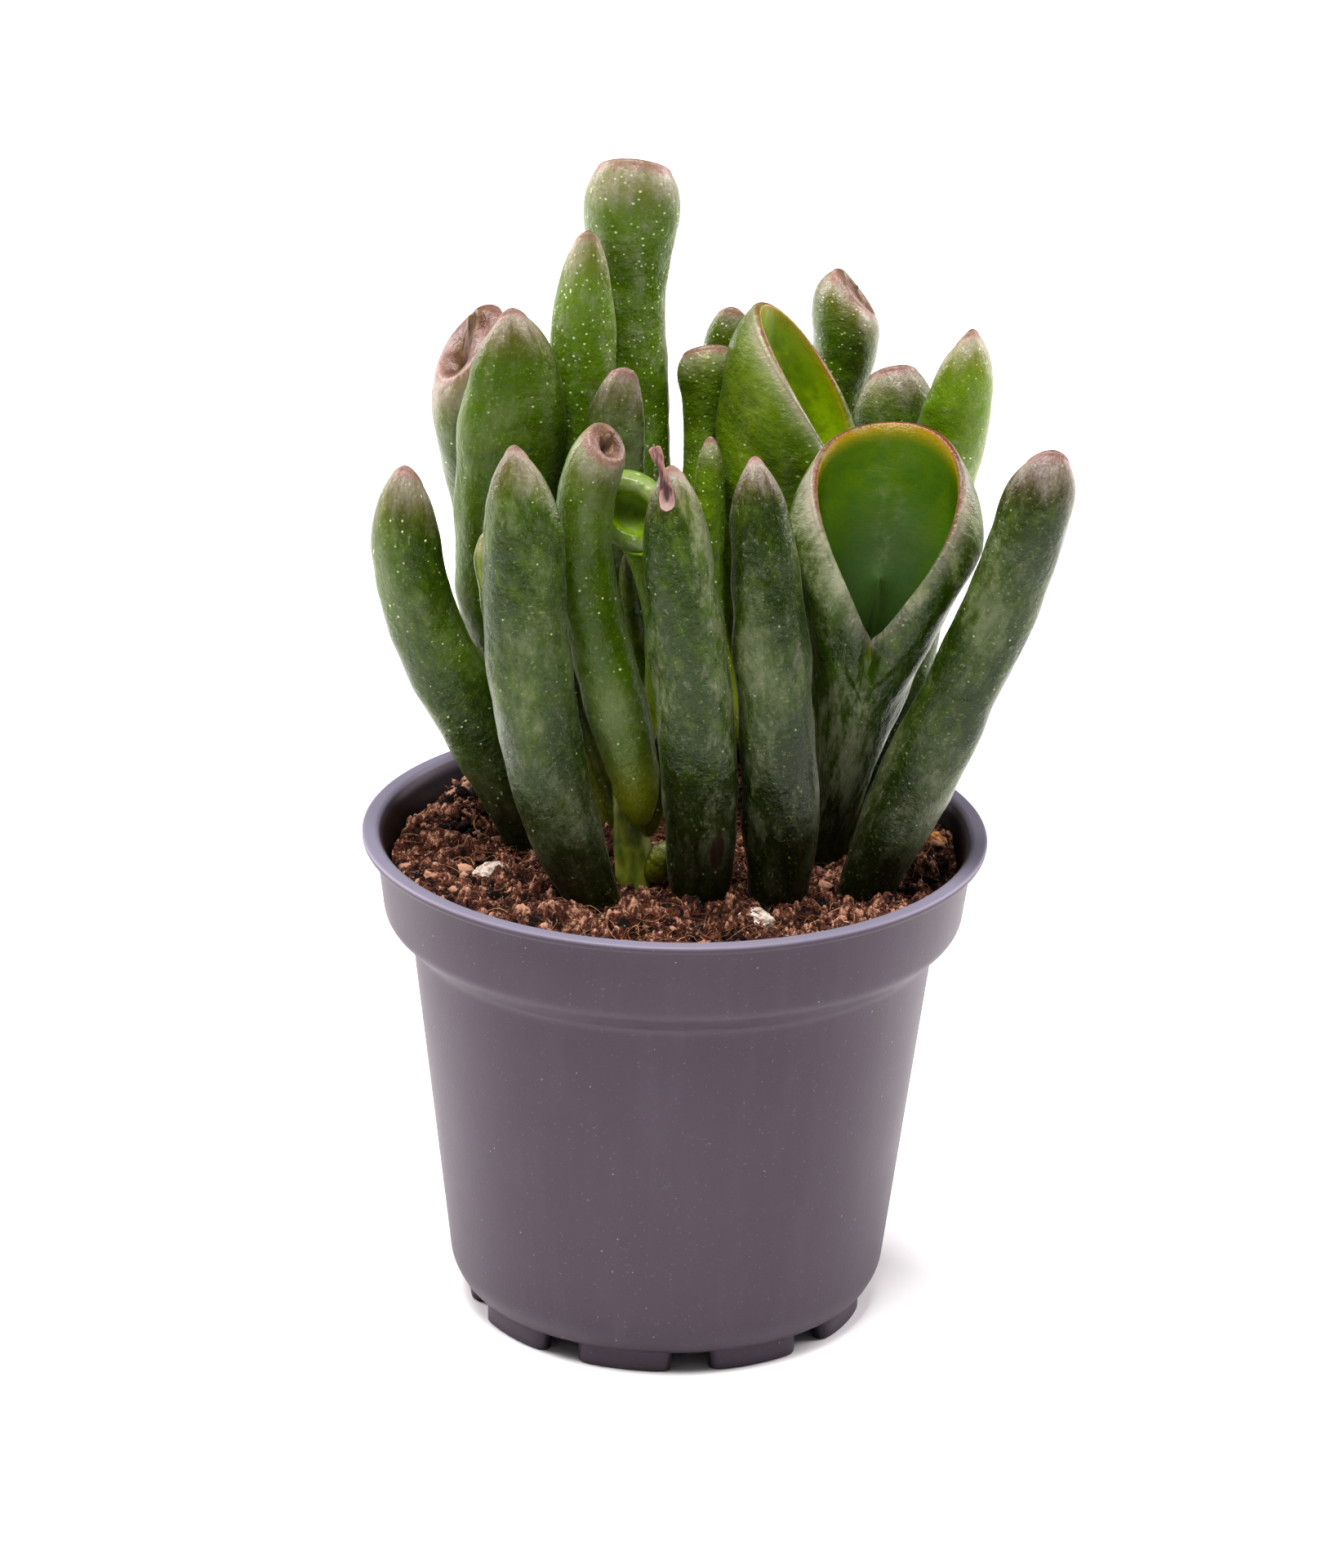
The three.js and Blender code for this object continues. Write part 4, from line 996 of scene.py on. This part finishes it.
def pot_material():
    """Moulded polypropylene in a mauve grey: satin, with a fine moulded grain, faint flow streaks, rub
    marks, pale dust, a painted highlight that makes the top of the lip paler and bluer, and painted shade
    on the inner wall."""
    material, shader, add = new_material("moulded_polypropylene")
    where = millimetres(add)
    high = add("SeparateXYZ", [where], out=2)
    cloud = add("TexNoise", {"Vector": where, "Scale": 0.07, "Detail": 3.0})
    along = add("Mapping", {"Vector": where, "Scale": (1, 1, 0.12)})
    flow = add("TexNoise", {"Vector": along, "Scale": 0.35, "Detail": 4.0, "Roughness": 0.6})
    dust = add("TexNoise", {"Vector": where, "Scale": 3.2, "Detail": 2.0, "Roughness": 0.75})
    dust = share_of(add, (dust, 0.64, 0.76, 0, 0.25))
    mote = add("TexVoronoi", {"Vector": where, "Scale": 0.5})
    slanted = add("Mapping", {"Vector": where, "Scale": (0.25, 0.25, 2.2), "Rotation": (0.5, 0.2, 0)})
    scratch = add("TexNoise", {"Vector": slanted, "Scale": 0.5, "Detail": 5.0, "Roughness": 0.7})
    scratch = share_of(add, (scratch, 0.68, 0.74, 0, 0.2))

    # inside, painted shade darkens the wall to near black-brown from above the band's foot up to just
    # under the lip
    axis = {"Location": (-POT_AXIS[0] / MM, -POT_AXIS[1] / MM, 0), "Scale": (1, 1, 0)}
    radius = add("VectorMath", [add("Mapping", {"Vector": where, **axis})], "Value", operation="LENGTH")
    slope = (BAND["top_radius"] - BAND["foot_radius"]) / (LIP["top"] - BAND["foot_height"])
    wall = add("Math", [high, -slope, radius], **TIMES_ADD)
    middle_of_wall = BAND["foot_radius"] - slope * BAND["foot_height"] - WALL / 2
    above_step = add("MapRange", [high, BAND["foot_height"] + 0.6, BAND["foot_height"] + 1.2])
    inner_side = (wall, middle_of_wall, middle_of_wall - 0.3, 0, 0.9)
    colour = layered(add, "#322b33", [
        ("#39323a", (cloud, 0.3, 0.7)),
        ("#453d48", (flow, 0.45, 0.75, 0, 0.2)),
        ("#948d96", dust),
        ("#b0aab1", (mote, 0.06, 0.03, 0, 0.3)),
        ("#6f6872", scratch),
        # painted highlight: the top of the lip paler and bluer where the light from above catches it
        ("#726f7e", (high, LIP["top"] - 0.45, LIP["top"] - 0.15, 0, 0.85)),
        ("#1c1412", inner_side, (high, LIP["top"] - 0.3, LIP["top"] - 0.9), above_step),
    ])
    rough = add("Math", [dust, 0.3, add("MapRange", [cloud, 0.3, 0.7, 0.46, 0.56])], **TIMES_ADD)
    grain = add("TexNoise", {"Vector": where, "Scale": 5.0, "Detail": 2.0})
    height = add("Math", [grain, scratch], **MINUS)
    give(shader, {
        "Base Color": colour, "Roughness": rough, "IOR": 1.49, "Specular Tint": "#f6e2f6",
        "Normal": add("Bump", {"Height": height, "Strength": 0.2, "Distance": 0.0001}),
    })
    return material


def peat_material(name, dark, mid, light, pale_share, roughness=0.95):
    """Sphagnum peat or its bits: each lump its own brown, from its tone, with crumbly grain of 0.3 mm and
    pale fibre ends. On the bed the tone also carries painted shade in the cracks between lumps."""
    material, shader, add = new_material(name)
    where = millimetres(add)
    tone = add("Attribute", out="Fac", attribute_name="tone")
    grain = add("TexNoise", {"Vector": where, "Scale": 2.6, "Detail": 7.0, "Roughness": 0.8})
    value = add("Math", [tone, 0.5, add("Math", [grain, 0.8], **TIMES)], **TIMES_ADD)
    pale = add("TexNoise", {"Vector": where, "Scale": 2.4, "Detail": 4.0, "Roughness": 0.7})
    colour = layered(add, dark, [
        (mid, (value, 0.52, 0.68)),
        (light, (value, 0.68, 0.84)),
        ("#e0bda8", (pale, 0.60, 0.70, 0, pale_share)),
    ])
    height = add("TexNoise", {"Vector": where, "Scale": 3.5, "Detail": 5.0, "Roughness": 0.7})
    give(shader, {
        "Base Color": colour, "Roughness": roughness, "Specular IOR Level": 0.3,
        "Normal": add("Bump", {"Height": height, "Strength": 1.0, "Distance": 0.0003}),
    })
    return material


def mineral_material(name, pale, shade, stain):
    """Expanded perlite, or bark by its colours: matt, pitted, stained by the peat in its hollows."""
    material, shader, add = new_material(name)
    where = millimetres(add)
    mottle = add("TexNoise", {"Vector": where, "Scale": 1.1, "Detail": 5.0, "Roughness": 0.65})
    turned_about = add("Mapping", {"Vector": where, "Rotation": (1, 2, 0)})
    dirt = add("TexNoise", {"Vector": turned_about, "Scale": 1.2, "Detail": 5.0, "Roughness": 0.7})
    pits = add("TexNoise", {"Vector": where, "Scale": 3.0, "Detail": 4.0, "Roughness": 0.65})
    colour = layered(add, shade, [(pale, (mottle, 0.35, 0.65)), (stain, (dirt, 0.46, 0.60, 0, 0.85))])
    pitted = add("Bump", {"Height": pits, "Strength": 0.9, "Distance": 0.0003})
    give(shader, {"Base Color": colour, "Roughness": 0.9, "Normal": pitted})
    return material


# the last colour of each skin is painted shade: the dark olive that the leaf darkens to at its foot
SKINS = {
    "green": leaf_material("jade_leaf_green", "#213300", "#344802", "#566e0c", "#3c5300", "#121500"),
    "dark": leaf_material("jade_leaf_dark", "#1a2a00", "#2c3d02", "#4b5e08", "#324900", "#0f1200"),
    "bright": leaf_material("jade_leaf_bright", "#334800", "#526402", "#7b8a0e", "#6c8000", "#3a4800"),
}

# The pieces

for number, (name, (route, widths, own)) in enumerate(LEAVES.items()):
    leaf = {**LEAF, **own, "name": name, "points": route, "widths": widths}
    skin = leaf["skin"]
    points, faces, values = leaf_surface(leaf, number)
    add_piece("jade_" + name, points, faces, SKINS[skin], ["leaf_" + name], values)

points, faces, slit = rod_surface(DRIED_END, DRIED_RADII, 20, 40, seed=2, knots=0.08, flat=0.6, slit=1.0)
dried_skin = dried_material()
add_piece("jade_withered_end", points, faces, dried_skin, attributes={"slit": slit})

bark_skin = stem_material()
for number, (name, (route, radius)) in enumerate(STEMS.items()):
    points, faces, _ = rod_surface(route, [radius, 0.85 * radius], seed=number, knots=0.05)
    add_piece("jade_" + name, points, faces, bark_skin, [name])

plastic = pot_material()
points, faces = pot_shell()
pot = add_piece("nursery_pot", points, faces, plastic, ["pot"])
cut_drain_holes(pot)
points, faces = pot_feet()
add_piece("pot_feet", points, faces, plastic)

# crumbs of 0.12 to 0.75 mm, and fibres up to 8 mm long and 0.1 mm thick
soil = peat_material("sphagnum_peat", "#0b0402", "#562f20", "#c0937c", 0.75)
points, faces, tone = peat_body()
add_piece("peat_bed", points, faces, soil, ["peat"], {"tone": tone})
points, faces, tone = crumbs(3600, 0.12, 0.75)
add_piece("peat_crumbs", points, faces, soil, attributes={"tone": tone})
fibre_skin = peat_material("peat_fibre", "#3a1c0e", "#7d4c30", "#b98a68", 0.1, 0.8)
points, faces, tone = fibres(1500, 8.0, 0.05)
add_piece("peat_fibres", points, faces, fibre_skin, attributes={"tone": tone})

white_grain = mineral_material("expanded_perlite", "#d8cdc4", "#a89a90", "#7a5a48")
# partly painted light: the bark chip's own orange, made brighter to stand in for light where it lies in
# shade
bark_grain = mineral_material("pine_bark_chip", "#eeb070", "#c98a4e", "#7a4a2a")
for number, (name, (at, radius, stretch)) in enumerate(GRAINS.items()):
    points, faces = grain_surface(at, radius, stretch, number)
    is_bark = name.startswith("bark")
    add_piece("grain_" + name, points, faces, bark_grain if is_bark else white_grain, [name])

# Floor, light and camera

FLOOR_HALF = 6.0
floor_material, floor_shader, _ = new_material("pale_floor")
give(floor_shader, {"Base Color": "#ffffff", "Roughness": 0.9})
floor_mesh = bpy.data.meshes.new("floor")
corners = [(x * FLOOR_HALF, y * FLOOR_HALF, 0) for x, y in ((-1, -1), (1, -1), (1, 1), (-1, 1))]
floor_mesh.from_pydata(corners, [], [(0, 1, 2, 3)])
floor_mesh.materials.append(floor_material)
floor = bpy.data.objects.new("floor", floor_mesh)
bpy.context.scene.collection.objects.link(floor)


def area_light(name, place, aim, size, power, colour):
    """A square soft light at a place, aimed at a point."""
    data = bpy.data.lights.new(name, "AREA")
    data.size, data.energy, data.color = size, power, linear(colour)[:3]
    light = bpy.data.objects.new(name, data)
    light.location = place
    light.rotation_euler = (Vector(aim) - Vector(place)).to_track_quat("-Z", "Y").to_euler()
    bpy.context.scene.collection.objects.link(light)


AIM = (0, 0, 0.055)
# place, size and power in metres and watts, colour
for name, (place, size, power, colour) in {
    "soft_right": ((0.76, 0.36, 0.40), 0.55, 8.0, "#fff8fb"),
    "soft_left": ((-0.76, 0.40, 0.40), 0.55, 9.0, "#fff8fb"),
    "soft_top": ((-0.08, -0.22, 0.92), 0.5, 15.0, "#fffdfa"),
}.items():
    area_light(name, place, AIM, size, power, colour)
world = bpy.data.worlds.new("pale_room")
world.use_nodes = True
give(world.node_tree.nodes["Background"], {"Color": "#ffffff", "Strength": 0.2})
bpy.context.scene.world = world
bpy.context.scene.view_settings.view_transform = "Standard"
bpy.context.scene.view_settings.look = "Medium High Contrast"

# the photograph's view: 21.1 degrees down, leaning 1.18 degrees, from 780 mm
down, lean, distance = math.radians(21.1), math.radians(1.18), 0.780
target = Vector(POT_AXIS) + Vector((-0.36, 0, 53.0)) * MM
ahead = Vector((0, math.cos(down), -math.sin(down)))
right = Vector((1, 0, 0))
up = right.cross(ahead)
level_right = math.cos(lean) * right + math.sin(lean) * up
level_up = -math.sin(lean) * right + math.cos(lean) * up
lens = bpy.data.cameras.new("camera")
lens.lens, lens.sensor_width = 187.5, 36.0
lens.clip_start, lens.clip_end = 0.05, 20
camera = bpy.data.objects.new("camera", lens)
turn = Matrix((level_right, level_up, -ahead)).transposed()
camera.matrix_world = Matrix.Translation(target - ahead * distance) @ turn.to_4x4()
bpy.context.scene.collection.objects.link(camera)
bpy.context.scene.camera = camera
